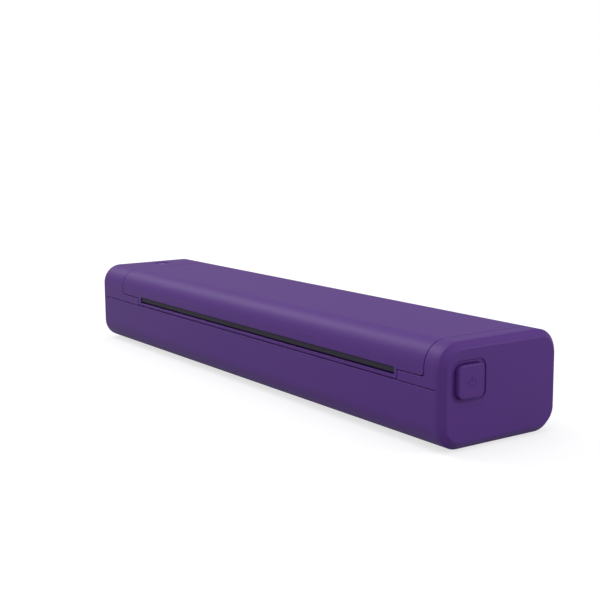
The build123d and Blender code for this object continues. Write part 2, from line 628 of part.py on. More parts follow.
def top_frame():
    ring = shell_tube(BODY_X) & half_space((PARTING, SHELL_TOP + OVERRUN))
    bulkheads = shell_bar((LID_LEFT - BULKHEAD, LID_LEFT)) + shell_bar((LID_RIGHT, LID_RIGHT + BULKHEAD))
    bulkheads = bulkheads & half_space((PARTING, SHELL_TOP + OVERRUN))
    board_tab = block((LID_RIGHT, LID_RIGHT + BULKHEAD), around(BUTTON_Y, SWITCH_BOARD_HALF),
                      (BUTTON_Z - SWITCH_BOARD_HALF, PARTING + SEAM))
    bulkheads = bulkheads + board_tab
    frame = ring + bulkheads - lid_prism(0)
    rear_y = (HINGE_Y - KNUCKLE_RADIUS, REAR + OVERRUN)
    frame = frame - block((LID_LEFT, LID_RIGHT), rear_y, (DECK_TOP, SHELL_TOP)) + deck()
    for case_knuckle, _, _ in HINGES:
        pedestal = block(case_knuckle, around(HINGE_Y, KNUCKLE_RADIUS), (DECK_TOP - SEAM, HINGE_Z))
        frame = frame + pedestal + rod(KNUCKLE_RADIUS, case_knuckle, HINGE_Y, HINGE_Z)
        frame = frame - rod(HINGE_PIN_RADIUS + SEAT_CLEARANCE, case_knuckle, HINGE_Y, HINGE_Z)
    window = block((WINDOW_LEFT, WINDOW_RIGHT), (PLATEN_Y - WINDOW_FRONT, PLATEN_Y + WINDOW_REAR),
                   past(DECK_Z))
    frame = frame - window
    for hook in hook_spans():
        slot_x = (hook[0] - HOOK_CLEARANCE, hook[1] + HOOK_CLEARANCE)
        slot_y = (HOOK_Y[0] - HOOK_CLEARANCE, HOOK_Y[1] + HOOK_BARB)
        frame = frame - block(slot_x, slot_y, past(DECK_Z))
    for x, y in CASE_SCREWS:
        frame = frame + post(CASE_BOSS_RADIUS, x, y, (BOSS_JOINT, DECK_LOW + SEAM))
        frame = frame - post(SCREW_HOLE, x, y, (BOSS_JOINT - OVERRUN, DECK_LOW - SEAM))
    sensor_hole = block(SENSOR_X, SENSOR_Y, past(DECK_Z))
    frame = frame - sensor_hole
    lens_z = (DECK_LOW - OVERRUN, SHELL_TOP + OVERRUN)
    lens_hole = post(LENS_RADIUS + LENS_GAP, INDICATOR_X, INDICATOR_Y, lens_z)
    dish = post(DISH_RADIUS, INDICATOR_X, INDICATOR_Y, (SHELL_TOP - DISH_DEPTH, SHELL_TOP + OVERRUN))
    frame = frame - lens_hole - dish
    for y, z in button_stakes():
        frame = frame + rod(STAKE_RADIUS, (LID_RIGHT, BOARD_X[1] + STAKE_PROUD), y, z)
    return frame


def hook_spans():
    """The two snap hooks' spans along X."""
    left = LID_LEFT + HOOK_FROM_SEAM
    right = LID_RIGHT - HOOK_FROM_SEAM
    return [(left, left + HOOK_WIDTH), (right - HOOK_WIDTH, right)]


def button_stakes():
    """The two pegs that hold the button's board, at opposite corners of it."""
    reach = 2 * SWITCH_BOARD_HALF * STAKE_SHARE
    return [(BUTTON_Y - reach, BUTTON_Z - reach), (BUTTON_Y + reach, BUTTON_Z + reach)]


def end_cap():
    """A cap for the +X end: a skirt, a chamfer, a flat face and a spigot that enters the case."""
    skirt = shell_bar((BODY_RIGHT, BODY_RIGHT + CAP_SKIRT))
    slope = loft([section(BODY_RIGHT + CAP_SKIRT, 0), section(SHELL_RIGHT, CHAMFER_INSET)], ruled=True)
    cap = skirt + slope
    rim = cap.faces().sort_by(Axis.X)[-1].edges()
    cap = fillet(rim, CHAMFER_EASE)
    cap = cap - shell_bar((BODY_RIGHT - OVERRUN, SHELL_RIGHT - CAP_PLATE), WALL + CHAMFER_INSET / 2)
    outer = WALL + SPIGOT_CLEARANCE
    spigot_x = (BODY_RIGHT - SPIGOT_DEPTH, BODY_RIGHT + CAP_SKIRT / 2)
    hollow_x = past(spigot_x)
    return cap + (shell_bar(spigot_x, outer) - shell_bar(hollow_x, outer + SPIGOT_WALL))


def rounded_hole(size_y, size_z, corner, y, z, x):
    """A rounded rectangular bar along X, for cuts and for the button."""
    outline = Plane.YZ.offset(x[0]) * Pos(y, z) * RectangleRounded(size_y, size_z, corner)
    return extrude(outline, amount=x[1] - x[0])


def right_end_cap():
    cap = end_cap()
    side = BUTTON_SIZE + 2 * RECESS_SIDE
    rise = BUTTON_SIZE + 2 * RECESS_RISE
    border = 2 * RECESS_FLOOR
    backing = rounded_hole(side + border, rise + border, RECESS_CORNER, BUTTON_Y, BUTTON_Z,
                           (PLATE_INNER, SHELL_RIGHT - CHAMFER_EASE))
    keep = shell_bar((PLATE_INNER, SHELL_RIGHT), WALL + CHAMFER_INSET)
    cap = cap + (backing & keep)
    recess_x = (RECESS_X, SHELL_RIGHT + OVERRUN)
    cap = cap - rounded_hole(side, rise, RECESS_CORNER, BUTTON_Y, BUTTON_Z, recess_x)
    opening = BUTTON_SIZE + 2 * BUTTON_CLEARANCE
    return cap - rounded_hole(opening, opening, BUTTON_CORNER + BUTTON_CLEARANCE, BUTTON_Y, BUTTON_Z,
                              (PLATE_INNER - OVERRUN, SHELL_RIGHT + OVERRUN))


def left_end_cap():
    middle = (SHELL_LEFT + SHELL_RIGHT) / 2
    cap = Pos(middle, 0, 0) * Rot(0, 0, 180) * Pos(-middle, 0, 0) * end_cap()
    width = USB_WIDTH + 2 * USB_CLEARANCE
    height = USB_HEIGHT + 2 * USB_CLEARANCE
    mouth = rounded_hole(width, height, height / 2 - USB_CLEARANCE, 0, USB_MIDDLE,
                         (SHELL_LEFT - OVERRUN, SHELL_LEFT + CAP_PLATE + SPIGOT_DEPTH))
    flare = rounded_hole(width + 2 * USB_FLARE, height + 2 * USB_FLARE, height / 2, 0, USB_MIDDLE,
                         (SHELL_LEFT - OVERRUN, SHELL_LEFT + USB_FLARE))
    return cap - mouth - flare


def rubber_feet():
    foot = post(FOOT_RADIUS, 0, 0, (0, SHELL_BOTTOM + FOOT_RECESS))
    foot = fillet(foot.faces().sort_by(Axis.Z)[0].edges(), FOOT_PROUD / 2)
    return [Pos(x, y, 0) * foot for x, y in FEET]


def case_screws():
    upright = Rot(180, 0, 0) * case_screw()
    return [Pos(x, y, SCREW_HEAD_SEAT) * upright for x, y in CASE_SCREWS]


# Chassis: a folded pan with two side plates that locate the platen's bushes


def plate_outline(x, rear):
    """A side plate with the notch that the platen's bush drops into."""
    low = block(x, (PAN_Y[0], rear), (PAN_Z[0], DECK_LOW - PLATE_BELOW_DECK))
    ear_top = PLATEN_Z + PLATE_ABOVE_AXIS
    ear = block(x, around(PLATEN_Y, PLATE_HALF_DEPTH), (PAN_Z[0], ear_top))
    plate = low + ear
    notch_radius = BUSH_RADIUS + NOTCH_CLEARANCE
    notch = block(past(x), around(PLATEN_Y, notch_radius), (PLATEN_Z, ear_top + OVERRUN))
    notch = notch + rod(notch_radius, past(x), PLATEN_Y, PLATEN_Z)
    return plate - notch


def chassis():
    pan = block((LEFT_PLATE[0], RIGHT_PLATE[1]), PAN_Y, PAN_Z)
    left_rear = MOTOR_Y + EAR_Y + MOTOR_EAR_RADIUS
    frame = pan + plate_outline(LEFT_PLATE, left_rear) + plate_outline(RIGHT_PLATE, PAN_Y[1])
    wide = past(LEFT_PLATE)
    for y, z in ((IDLER_Y, IDLER_Z), (COMPOUND_Y, COMPOUND_Z)):
        frame = frame - rod(AXLE_RADIUS, wide, y, z)
    frame = frame - rod(MOTOR_BOSS_RADIUS + SEAT_CLEARANCE, wide, MOTOR_Y, MOTOR_Z)
    for y, z in MOTOR_EARS:
        frame = frame - rod(MOTOR_SCREW_RADIUS + SEAT_CLEARANCE, wide, y, z)
    frame = frame - rod(PIVOT_RADIUS, (LEFT_PLATE[0] - OVERRUN, RIGHT_PLATE[1] + OVERRUN), PIVOT_Y, PIVOT_Z)
    for x, y in CHASSIS_SCREWS:
        frame = frame - post(SMALL_SCREW_HOLE, x, y, (FLOOR, PARTING))
    for x in SPRING_PLACES:
        guide_radius = SPRING_RADIUS - SPRING_WIRE / 2 - SPRING_GUIDE_GAP
        frame = frame + post(guide_radius, x, PLATEN_Y, (PAN_Z[0], PAN_Z[1] + SPRING_GUIDE_HEIGHT))
    return frame


def chassis_screws():
    return [Pos(x, y, PAN_Z[1]) * small_screw(PAN_Z[1] - FLOOR) for x, y in CHASSIS_SCREWS]


# Motor and gears


def stepper_motor():
    can = rod(MOTOR_RADIUS, (MOTOR_X[0] + MOTOR_EAR_THICKNESS, MOTOR_X[1]), MOTOR_Y, MOTOR_Z)
    can = fillet(can.faces().sort_by(Axis.X)[-1].edges(), MOTOR_EAR_THICKNESS)
    flange_x = (MOTOR_X[0], MOTOR_X[0] + MOTOR_EAR_THICKNESS)
    flange = rod(MOTOR_RADIUS, flange_x, MOTOR_Y, MOTOR_Z)
    boss = rod(MOTOR_BOSS_RADIUS, (LEFT_PLATE[0], MOTOR_X[1]), MOTOR_Y, MOTOR_Z)
    motor = can + flange + boss
    arms = block(flange_x, around(0, MOTOR_EAR_REACH), around(0, MOTOR_EAR_RADIUS))
    motor = motor + Pos(0, MOTOR_Y, MOTOR_Z) * Rot(MOTOR_EAR_TILT, 0, 0) * arms
    hole_x = past(flange_x)
    for y, z in MOTOR_EARS:
        motor = motor + rod(MOTOR_EAR_RADIUS, flange_x, y, z)
        motor = motor - rod(MOTOR_SCREW_RADIUS + SEAT_CLEARANCE, hole_x, y, z)
    bore_x = (LEFT_PLATE[0] - OVERRUN, MOTOR_X[1] - MOTOR_BOSS_RADIUS)
    return motor - rod(MOTOR_SHAFT_RADIUS + RUNNING_CLEARANCE, bore_x, MOTOR_Y, MOTOR_Z)


def motor_screws():
    length = SHEET + MOTOR_EAR_THICKNESS
    upright = screw(MOTOR_SCREW_RADIUS, SMALL_SCREW_HEAD_RADIUS, SMALL_SCREW_HEAD_HEIGHT, length)
    sideways = Rot(0, 90, 0) * upright
    return [Pos(MOTOR_X[0] + MOTOR_EAR_THICKNESS, y, z) * sideways for y, z in MOTOR_EARS]


def tooth_flank(teeth, half_angle, radius):
    """The angle of an involute flank from its tooth's middle, at a radius."""
    base = teeth * MODULE / 2 * cos(radians(PRESSURE_ANGLE))
    pressure = radians(PRESSURE_ANGLE)
    start = half_angle + tan(pressure) - pressure
    if radius <= base:
        return start
    roll = sqrt((radius / base) ** 2 - 1)
    return start - (roll - atan2(roll, 1))


def gear(teeth, x, y, z, phase):
    """An involute spur gear about an axis along X, with one tooth's middle at the phase angle."""
    pitch = teeth * MODULE / 2
    root, tip = pitch - MODULE * DEDENDUM_SHARE, pitch + MODULE
    half_angle = pi / (2 * teeth) - TOOTH_BACKLASH / (2 * pitch)
    base = pitch * cos(radians(PRESSURE_ANGLE))
    foot = max(root, base)
    radii = [root, foot, (foot + pitch) / 2, pitch, (pitch + tip) / 2, tip]
    radii = sorted(set(radii))
    points = []
    for index in range(teeth):
        middle = radians(phase) + 2 * pi * index / teeth
        sides = [(radius, tooth_flank(teeth, half_angle, radius)) for radius in radii]
        for radius, angle in sides:
            points.append((radius * cos(middle - angle), radius * sin(middle - angle)))
        for radius, angle in reversed(sides):
            points.append((radius * cos(middle + angle), radius * sin(middle + angle)))
    outline = Plane.YZ.offset(x[0]) * Pos(y, z) * make_face(Polyline(*points, close=True))
    return extrude(outline, amount=x[1] - x[0])


def mesh_phase(phase, teeth, other_teeth, direction):
    """The phase that puts a gear's teeth in the gaps of another one, seen in a direction from that one."""
    passed = (direction - phase) * teeth / 360
    return direction + 180 - (1 / 2 - passed) * 360 / other_teeth


PLATEN_PHASE = 90.0
IDLER_PHASE = mesh_phase(PLATEN_PHASE, PLATEN_TEETH, IDLER_TEETH, -90)
TO_COMPOUND = degrees(atan2(COMPOUND_Z - IDLER_Z, COMPOUND_Y - IDLER_Y))
COMPOUND_PHASE = mesh_phase(IDLER_PHASE, IDLER_TEETH, COMPOUND_SMALL_TEETH, TO_COMPOUND)
TO_MOTOR = degrees(atan2(MOTOR_Z - COMPOUND_Z, MOTOR_Y - COMPOUND_Y))
PINION_PHASE = mesh_phase(COMPOUND_PHASE, COMPOUND_LARGE_TEETH, PINION_TEETH, TO_MOTOR)


def platen_gear():
    wheel = gear(PLATEN_TEETH, OUTER_GEARS, PLATEN_Y, PLATEN_Z, PLATEN_PHASE)
    hub = rod(PLATEN_HUB_RADIUS, (OUTER_GEARS[0], OUTER_GEARS[1] + GEAR_SPACE), PLATEN_Y, PLATEN_Z)
    return wheel + hub - rod(GEAR_SEAT_RADIUS, (AXLE_LEFT, OUTER_GEARS[1] + OVERRUN), PLATEN_Y, PLATEN_Z)


def idler_gear():
    wheel = gear(IDLER_TEETH, OUTER_GEARS, IDLER_Y, IDLER_Z, IDLER_PHASE)
    hub = rod(IDLER_HUB_RADIUS, (OUTER_GEARS[1], LEFT_PLATE[0] - GEAR_SPACE / 2), IDLER_Y, IDLER_Z)
    return wheel + hub - rod(AXLE_RADIUS + RUNNING_CLEARANCE, (AXLE_LEFT, LEFT_PLATE[0]), IDLER_Y, IDLER_Z)


def reduction_gear():
    small = gear(COMPOUND_SMALL_TEETH, OUTER_GEARS, COMPOUND_Y, COMPOUND_Z, COMPOUND_PHASE)
    large = gear(COMPOUND_LARGE_TEETH, INNER_GEARS, COMPOUND_Y, COMPOUND_Z, COMPOUND_PHASE)
    hub = rod(COMPOUND_HUB_RADIUS, (OUTER_GEARS[0], LEFT_PLATE[0] - GEAR_SPACE / 2), COMPOUND_Y, COMPOUND_Z)
    return small + large + hub - rod(AXLE_RADIUS + RUNNING_CLEARANCE, (AXLE_LEFT, LEFT_PLATE[0]), COMPOUND_Y,
                                     COMPOUND_Z)


def motor_pinion():
    pinion_x = (INNER_GEARS[0], LEFT_PLATE[0] - GEAR_SPACE / 2)
    return gear(PINION_TEETH, pinion_x, MOTOR_Y, MOTOR_Z, PINION_PHASE) - rod(
        MOTOR_SHAFT_RADIUS, (INNER_GEARS[0] - OVERRUN, LEFT_PLATE[0]), MOTOR_Y, MOTOR_Z)


def motor_shaft():
    tail = MOTOR_X[1] - MOTOR_BOSS_RADIUS - RUNNING_CLEARANCE
    return rod(MOTOR_SHAFT_RADIUS, (INNER_GEARS[0], tail), MOTOR_Y, MOTOR_Z)


def gear_axles():
    return [rod(AXLE_RADIUS, (AXLE_LEFT, LEFT_PLATE[1]), y, z)
            for y, z in ((IDLER_Y, IDLER_Z), (COMPOUND_Y, COMPOUND_Z))]


def clip(y, z, shaft_radius):
    """An open retaining ring on the end of a shaft along X."""
    x = (AXLE_LEFT + CLIP_THICKNESS / 2, AXLE_LEFT + 3 * CLIP_THICKNESS / 2)
    ring = rod(shaft_radius + CLIP_RADIUS - AXLE_RADIUS, x, y, z)
    ring = ring - rod(shaft_radius, past(x), y, z)
    mouth_z = (z, z + 2 * CLIP_RADIUS + shaft_radius)
    return ring - block(past(x), around(y, shaft_radius / 2), mouth_z)


def axle_clips():
    return [clip(y, z, AXLE_RADIUS) for y, z in ((IDLER_Y, IDLER_Z), (COMPOUND_Y, COMPOUND_Z))]


# Platen


def platen_shaft():
    core = rod(PLATEN_CORE_RADIUS, (ROLLER_LEFT, ROLLER_RIGHT), PLATEN_Y, PLATEN_Z)
    journals = rod(JOURNAL_RADIUS, (LEFT_PLATE[0] - GEAR_SPACE, RIGHT_PLATE[1] + SHEET), PLATEN_Y, PLATEN_Z)
    seat = rod(GEAR_SEAT_RADIUS, (AXLE_LEFT, LEFT_PLATE[0]), PLATEN_Y, PLATEN_Z)
    return core + journals + seat


def platen_roller():
    roller_x = (ROLLER_LEFT, ROLLER_RIGHT)
    tube = rod(PLATEN_RADIUS, roller_x, PLATEN_Y, PLATEN_Z)
    return tube - rod(PLATEN_CORE_RADIUS, past(roller_x), PLATEN_Y, PLATEN_Z)


def platen_clip():
    return clip(PLATEN_Y, PLATEN_Z, GEAR_SEAT_RADIUS)


def platen_bushes():
    left = (LEFT_PLATE[0] - GEAR_SPACE / 2, LEFT_ARM[1] + ARM_GAP / 2)
    right = (RIGHT_ARM[0], RIGHT_PLATE[1] + GEAR_SPACE)
    bushes = []
    for span in (left, right):
        bush = rod(BUSH_RADIUS, span, PLATEN_Y, PLATEN_Z)
        bushes.append(bush - rod(JOURNAL_RADIUS + RUNNING_CLEARANCE, past(span), PLATEN_Y, PLATEN_Z))
    return bushes


# Print head


def head_heatsink():
    plate = block(HEAD_X, (PLATEN_Y - HEAD_FRONT, PLATEN_Y + HEAD_REAR), (HEATSINK_LOW, CERAMIC_LOW))
    for ear in PIVOT_EARS:
        web = block(ear, (PIVOT_Y - PIVOT_EAR_RADIUS, PIVOT_Y), (PIVOT_Z, HEATSINK_LOW + SEAM))
        plate = plate + web + rod(PIVOT_EAR_RADIUS, ear, PIVOT_Y, PIVOT_Z)
    return plate - rod(PIVOT_RADIUS + RUNNING_CLEARANCE, HEAD_X, PIVOT_Y, PIVOT_Z)


def thermal_head():
    strip = block(HEAD_X, (PLATEN_Y - CERAMIC_FRONT, PLATEN_Y + CERAMIC_REAR), (CERAMIC_LOW, CERAMIC_TOP))
    heater = block(around(PAPER_MIDDLE, PAPER_WIDTH / 2), around(PLATEN_Y, HEATER_HALF_WIDTH),
                   (CERAMIC_TOP - HEATER_HEIGHT, CERAMIC_TOP + HEATER_HEIGHT))
    return strip + heater


def head_cover():
    cover_z = (CERAMIC_TOP, CERAMIC_TOP + COVER_HEIGHT)
    cover = block(HEAD_X, (PLATEN_Y + COVER_FRONT, PLATEN_Y + HEAD_REAR), cover_z)
    rear = block(HEAD_X, (PLATEN_Y + CERAMIC_REAR, PLATEN_Y + HEAD_REAR), (CERAMIC_LOW, CERAMIC_TOP))
    return cover + rear


def head_pivot_pin():
    return rod(PIVOT_RADIUS, (LEFT_PLATE[0], RIGHT_PLATE[1]), PIVOT_Y, PIVOT_Z)


def head_springs():
    """Coil springs with flat ends between the pan and the heatsink."""
    low, high = PAN_Z[1], HEATSINK_LOW
    height = high - low - SPRING_WIRE
    springs = []
    for x in SPRING_PLACES:
        path = Helix(pitch=height / SPRING_TURNS, height=height, radius=SPRING_RADIUS)
        wire = Plane(origin=path @ 0, z_dir=path % 0) * Circle(SPRING_WIRE / 2)
        coil = sweep(wire, path=path, is_frenet=True)
        springs.append(Pos(x, PLATEN_Y, low + SPRING_WIRE / 2) * coil)
    return springs


# Lid


def lid():
    x = (LID_LEFT + SEAM, LID_RIGHT - SEAM)
    walls = shell_tube(x) + shell_bar((x[0], x[0] + LID_END_WALL)) + shell_bar((x[1] - LID_END_WALL, x[1]))
    cover = walls & lid_prism(SEAM)
    slot_y = (FRONT - OVERRUN, FRONT + 2 * WALL)
    cover = cover - block((SLOT_LEFT, SLOT_RIGHT), slot_y, (SLOT_LOW, SLOT_HIGH))
    for hook in hook_spans():
        barb_top = DECK_LOW - HOOK_CLEARANCE
        stem = block(hook, HOOK_Y, (barb_top - HOOK_BARB_HEIGHT, SHELL_TOP - WALL / 2))
        barb_y = (HOOK_Y[0] - HOOK_BARB - HOOK_CLEARANCE, HOOK_Y[1])
        barb = block(hook, barb_y, (barb_top - HOOK_BARB_HEIGHT, barb_top))
        cover = cover + stem + barb
    inside = shell_bar(x, WALL / 2)
    for case_knuckle, first, second in HINGES:
        notch_x = (case_knuckle[0] - KNUCKLE_GAP, case_knuckle[1] + KNUCKLE_GAP)
        reach = KNUCKLE_RADIUS + KNUCKLE_GAP
        notch_z = (REAR_EDGE - OVERRUN, HINGE_Z + reach)
        cover = cover - block(notch_x, (HINGE_Y - reach, REAR + OVERRUN), notch_z)
        for knuckle in (first, second):
            web = block(knuckle, around(HINGE_Y, KNUCKLE_RADIUS), (HINGE_Z, SHELL_TOP - WALL / 2)) & inside
            cover = cover + web + rod(KNUCKLE_RADIUS, knuckle, HINGE_Y, HINGE_Z)
            bore_x = (knuckle[0] - SEAM, knuckle[1] + SEAM)
            cover = cover - rod(HINGE_PIN_RADIUS + RUNNING_CLEARANCE, bore_x, HINGE_Y, HINGE_Z)
    for px, py in LINER_POSTS:
        cover = cover + post(LINER_POST_RADIUS, px, py, (LINER_POST_JOINT, SHELL_TOP - WALL / 2))
        cover = cover - post(SMALL_SCREW_HOLE, px, py, (LINER_POST_JOINT - OVERRUN, CEILING))
    return cover


def hinge_pins():
    return [rod(HINGE_PIN_RADIUS, (first[0], second[1]), HINGE_Y, HINGE_Z) for _, first, second in HINGES]


def lid_liner():
    """The black upper paper guide, its lip in the slot and the arms that carry the platen's bushes."""
    front = FRONT + WALL + LINER_FRONT_GAP
    rear = HINGE_Y - KNUCKLE_RADIUS - LINER_FRONT_GAP
    plate = block(LINER_X, (front, rear), LINER_Z)
    lip_x = (SLOT_LEFT + FRONT_LIP_SIDE_GAP, SLOT_RIGHT - FRONT_LIP_SIDE_GAP)
    lip_low = SLOT_LOW + SHEET_GAP
    lip_back = front + LINER_THICKNESS
    lip_z = (lip_low, SLOT_HIGH - FRONT_LIP_TOP_GAP)
    plate = plate + block(lip_x, (FRONT + FRONT_LIP_INSET, lip_back), lip_z)
    plate = plate + block(lip_x, (front, lip_back), (lip_low, LINER_Z[1]))
    opening = PLATEN_RADIUS + LINER_ROLLER_GAP
    opening_z = past(LINER_Z)
    plate = plate - block((LEFT_ARM[1], RIGHT_ARM[0]), around(PLATEN_Y, opening), opening_z)
    arm_top = CEILING - LINER_TOP_GAP
    for arm in (LEFT_ARM, RIGHT_ARM):
        plate = plate + block(arm, around(PLATEN_Y, ARM_HALF_DEPTH), (LINER_Z[0], arm_top))
        plate = plate - rod(BUSH_RADIUS, past(arm), PLATEN_Y, PLATEN_Z)
    for x, y in LINER_POSTS:
        plate = plate + post(LINER_POST_RADIUS, x, y, (LINER_Z[0], LINER_POST_JOINT))
        hole_z = (LINER_Z[0] - OVERRUN, LINER_POST_JOINT + OVERRUN)
        plate = plate - post(SMALL_SCREW_HOLE, x, y, hole_z)
        head_hole = (LINER_Z[0] - OVERRUN, LINER_Z[0] + SMALL_SCREW_HEAD_HEIGHT)
        plate = plate - post(SMALL_SCREW_HEAD_RADIUS + SCREW_HOLE_EASE, x, y, head_hole)
    return plate


def liner_screws():
    seat = LINER_Z[0] + SMALL_SCREW_HEAD_HEIGHT
    upright = Rot(180, 0, 0) * small_screw(LINER_POST_JOINT - seat + SMALL_SCREW_LENGTH)
    return [Pos(x, y, seat) * upright for x, y in LINER_POSTS]


# Button and its switch


def power_button():
    face = SHELL_RIGHT + BUTTON_PROUD
    block_x = (PLATE_INNER, face)
    button = rounded_hole(BUTTON_SIZE, BUTTON_SIZE, BUTTON_CORNER, BUTTON_Y, BUTTON_Z, block_x)
    button = fillet(button.faces().sort_by(Axis.X)[-1].edges(), BUTTON_EDGE)
    mark_x = (face - BUTTON_MARK_DEPTH, face + OVERRUN)
    middle = BUTTON_MARK_RADIUS
    mark_z = BUTTON_Z - BUTTON_MARK_DROP
    ring = rod(middle + BUTTON_MARK_WIDTH / 2, mark_x, BUTTON_Y, mark_z)
    ring = ring - rod(middle - BUTTON_MARK_WIDTH / 2, past(mark_x), BUTTON_Y, mark_z)
    gap = block(mark_x, around(BUTTON_Y, BUTTON_MARK_WIDTH * 3 / 2), (mark_z, mark_z + 2 * middle))
    bar_z = (mark_z + middle / 4, mark_z + middle * 5 / 4)
    bar = block(mark_x, around(BUTTON_Y, BUTTON_MARK_WIDTH / 2), bar_z)
    button = button - (ring - gap) - bar
    flange_x = (PLATE_INNER - BUTTON_FLANGE_THICKNESS, PLATE_INNER)
    across = BUTTON_SIZE + 2 * BUTTON_FLANGE
    return button + rounded_hole(across, across, BUTTON_CORNER, BUTTON_Y, BUTTON_Z, flange_x)


def switch_plunger():
    x = (SWITCH_X[1] - PLUNGER_IN_SWITCH, PLATE_INNER - BUTTON_FLANGE_THICKNESS)
    return rod(PLUNGER_RADIUS, x, BUTTON_Y, BUTTON_Z)


def tact_switch():
    case = block(SWITCH_X, around(BUTTON_Y, SWITCH_SIZE / 2), around(BUTTON_Z, SWITCH_SIZE / 2))
    bore_x = (SWITCH_X[1] - PLUNGER_IN_SWITCH - BUTTON_TRAVEL - RUNNING_CLEARANCE, SWITCH_X[1] + OVERRUN)
    return case - rod(PLUNGER_RADIUS + RUNNING_CLEARANCE, bore_x, BUTTON_Y, BUTTON_Z)


def button_board():
    half = SWITCH_BOARD_HALF
    board = block(BOARD_X, around(BUTTON_Y, half), around(BUTTON_Z, half))
    for y, z in button_stakes():
        board = board - rod(STAKE_RADIUS, past(BOARD_X), y, z)
    return board


# Boards, socket and indicator


def drilled_board(x, y, z, fixings):
    board = block(x, y, z)
    for fix_x, fix_y in fixings:
        board = board - post(SMALL_SCREW_HOLE, fix_x, fix_y, past(z))
    return board


def main_board():
    return drilled_board(MAIN_X, MAIN_Y, MAIN_Z, MAIN_FIXINGS)


def main_board_parts():
    """The processor, the head driver's chip, the coil, two capacitors and two connectors."""
    length, width = MAIN_X[1] - MAIN_X[0], MAIN_Y[1] - MAIN_Y[0]
    pieces = []
    for place_x, place_y, long, wide, tall in CHIP_SHARES:
        x = around(along(place_x, MAIN_X), long * length / 2)
        y = around(along(place_y, MAIN_Y), wide * width / 2)
        pieces.append(block(x, y, (MAIN_Z[1], MAIN_Z[1] + tall * TALLEST_PART)))
    for place_x in CAPACITOR_SHARES:
        x, y = along(place_x, MAIN_X), along(CAPACITOR_Y_SHARE, MAIN_Y)
        pieces.append(post(CAPACITOR_RADIUS_SHARE * length, x, y, (MAIN_Z[1], MAIN_Z[1] + TALLEST_PART)))
    return pieces


def charge_board():
    return drilled_board(CHARGE_X, CHARGE_Y, CHARGE_Z, CHARGE_FIXINGS)


def board_screws():
    places = [(x, y, MAIN_Z[1]) for x, y in MAIN_FIXINGS] + [(x, y, CHARGE_Z[1]) for x, y in CHARGE_FIXINGS]
    return [Pos(*place) * small_screw() for place in places]


def usb_socket():
    radius = USB_HEIGHT / 2 - SEAT_CLEARANCE
    shell = rounded_hole(USB_WIDTH, USB_HEIGHT, radius, 0, USB_MIDDLE, USB_X)
    inner = USB_HEIGHT - 2 * USB_WALL
    shell = shell - rounded_hole(USB_WIDTH - 2 * USB_WALL, inner, inner / 2 - SEAT_CLEARANCE, 0, USB_MIDDLE,
                                 (USB_X[0] - OVERRUN, USB_X[1] - USB_TONGUE_SETBACK))
    tongue = block((USB_X[0] + USB_TONGUE_SETBACK, USB_X[1] - USB_WALL), around(0, USB_TONGUE_WIDTH / 2),
                   around(USB_MIDDLE, USB_TONGUE_THICKNESS / 2))
    return shell + tongue


def indicator_led():
    height = (CHARGE_Z[1], CHARGE_Z[1] + LED_HEIGHT)
    return block(around(INDICATOR_X, LED_SIZE / 2), around(INDICATOR_Y, LED_SIZE / 2), height)


def indicator_lens():
    """A light pipe that hangs from the top's inner face and ends just above the lamp."""
    pipe = post(LENS_RADIUS, INDICATOR_X, INDICATOR_Y,
                (CHARGE_Z[1] + LED_HEIGHT + LENS_BELOW, SHELL_TOP - DISH_DEPTH - LENS_BELOW))
    flange_z = (CEILING - LENS_FLANGE_THICKNESS, CEILING)
    return pipe + post(LENS_RADIUS + LENS_GAP + LENS_FLANGE, INDICATOR_X, INDICATOR_Y, flange_z)


def paper_sensor():
    """The sensor that looks up through the deck, with a flange against the deck's underside."""
    low = DECK_LOW - SENSOR_DEPTH
    eye_x = (SENSOR_X[0] + SEAM, SENSOR_X[1] - SEAM)
    eye = block(eye_x, (SENSOR_Y[0] + SEAM, SENSOR_Y[1] - SEAM), (low, DECK_TOP - SEAM))
    flange_x = (SENSOR_X[0] - SENSOR_FLANGE, SENSOR_X[1] + SENSOR_FLANGE)
    flange_y = (SENSOR_Y[0] - SENSOR_FLANGE, SENSOR_Y[1] + SENSOR_FLANGE)
    return eye + block(flange_x, flange_y, (low, DECK_LOW))


# Battery


def battery_cells():
    cells = []
    for start in CELLS:
        can = rod(CELL_RADIUS, (start, start + CELL_LENGTH), CELL_Y, CELL_Z)
        can = fillet(can.edges(), CELL_BUTTON_HEIGHT)
        end = start + CELL_LENGTH
        tip = rod(CELL_BUTTON_RADIUS, (end, end + CELL_BUTTON_HEIGHT), CELL_Y, CELL_Z)
        cells.append(can + tip)
    return cells


def battery_cradle():
    """A saddle under the cells, with an upright end plate at each end."""
    y = around(CELL_Y - (CELL_RADIUS - CRADLE_HALF_WIDTH), CRADLE_HALF_WIDTH)
    saddle = block(CRADLE_X, y, (FLOOR, FLOOR + CRADLE_HEIGHT))
    inner = (CRADLE_X[0] + CRADLE_END, CRADLE_X[1] - CRADLE_END)
    end_z = (FLOOR, CELL_Z + CELL_BUTTON_RADIUS)
    saddle = saddle + block((CRADLE_X[0], inner[0]), y, end_z) + block((inner[1], CRADLE_X[1]), y, end_z)
    return saddle - rod(CELL_RADIUS + CRADLE_CLEARANCE, inner, CELL_Y, CELL_Z)


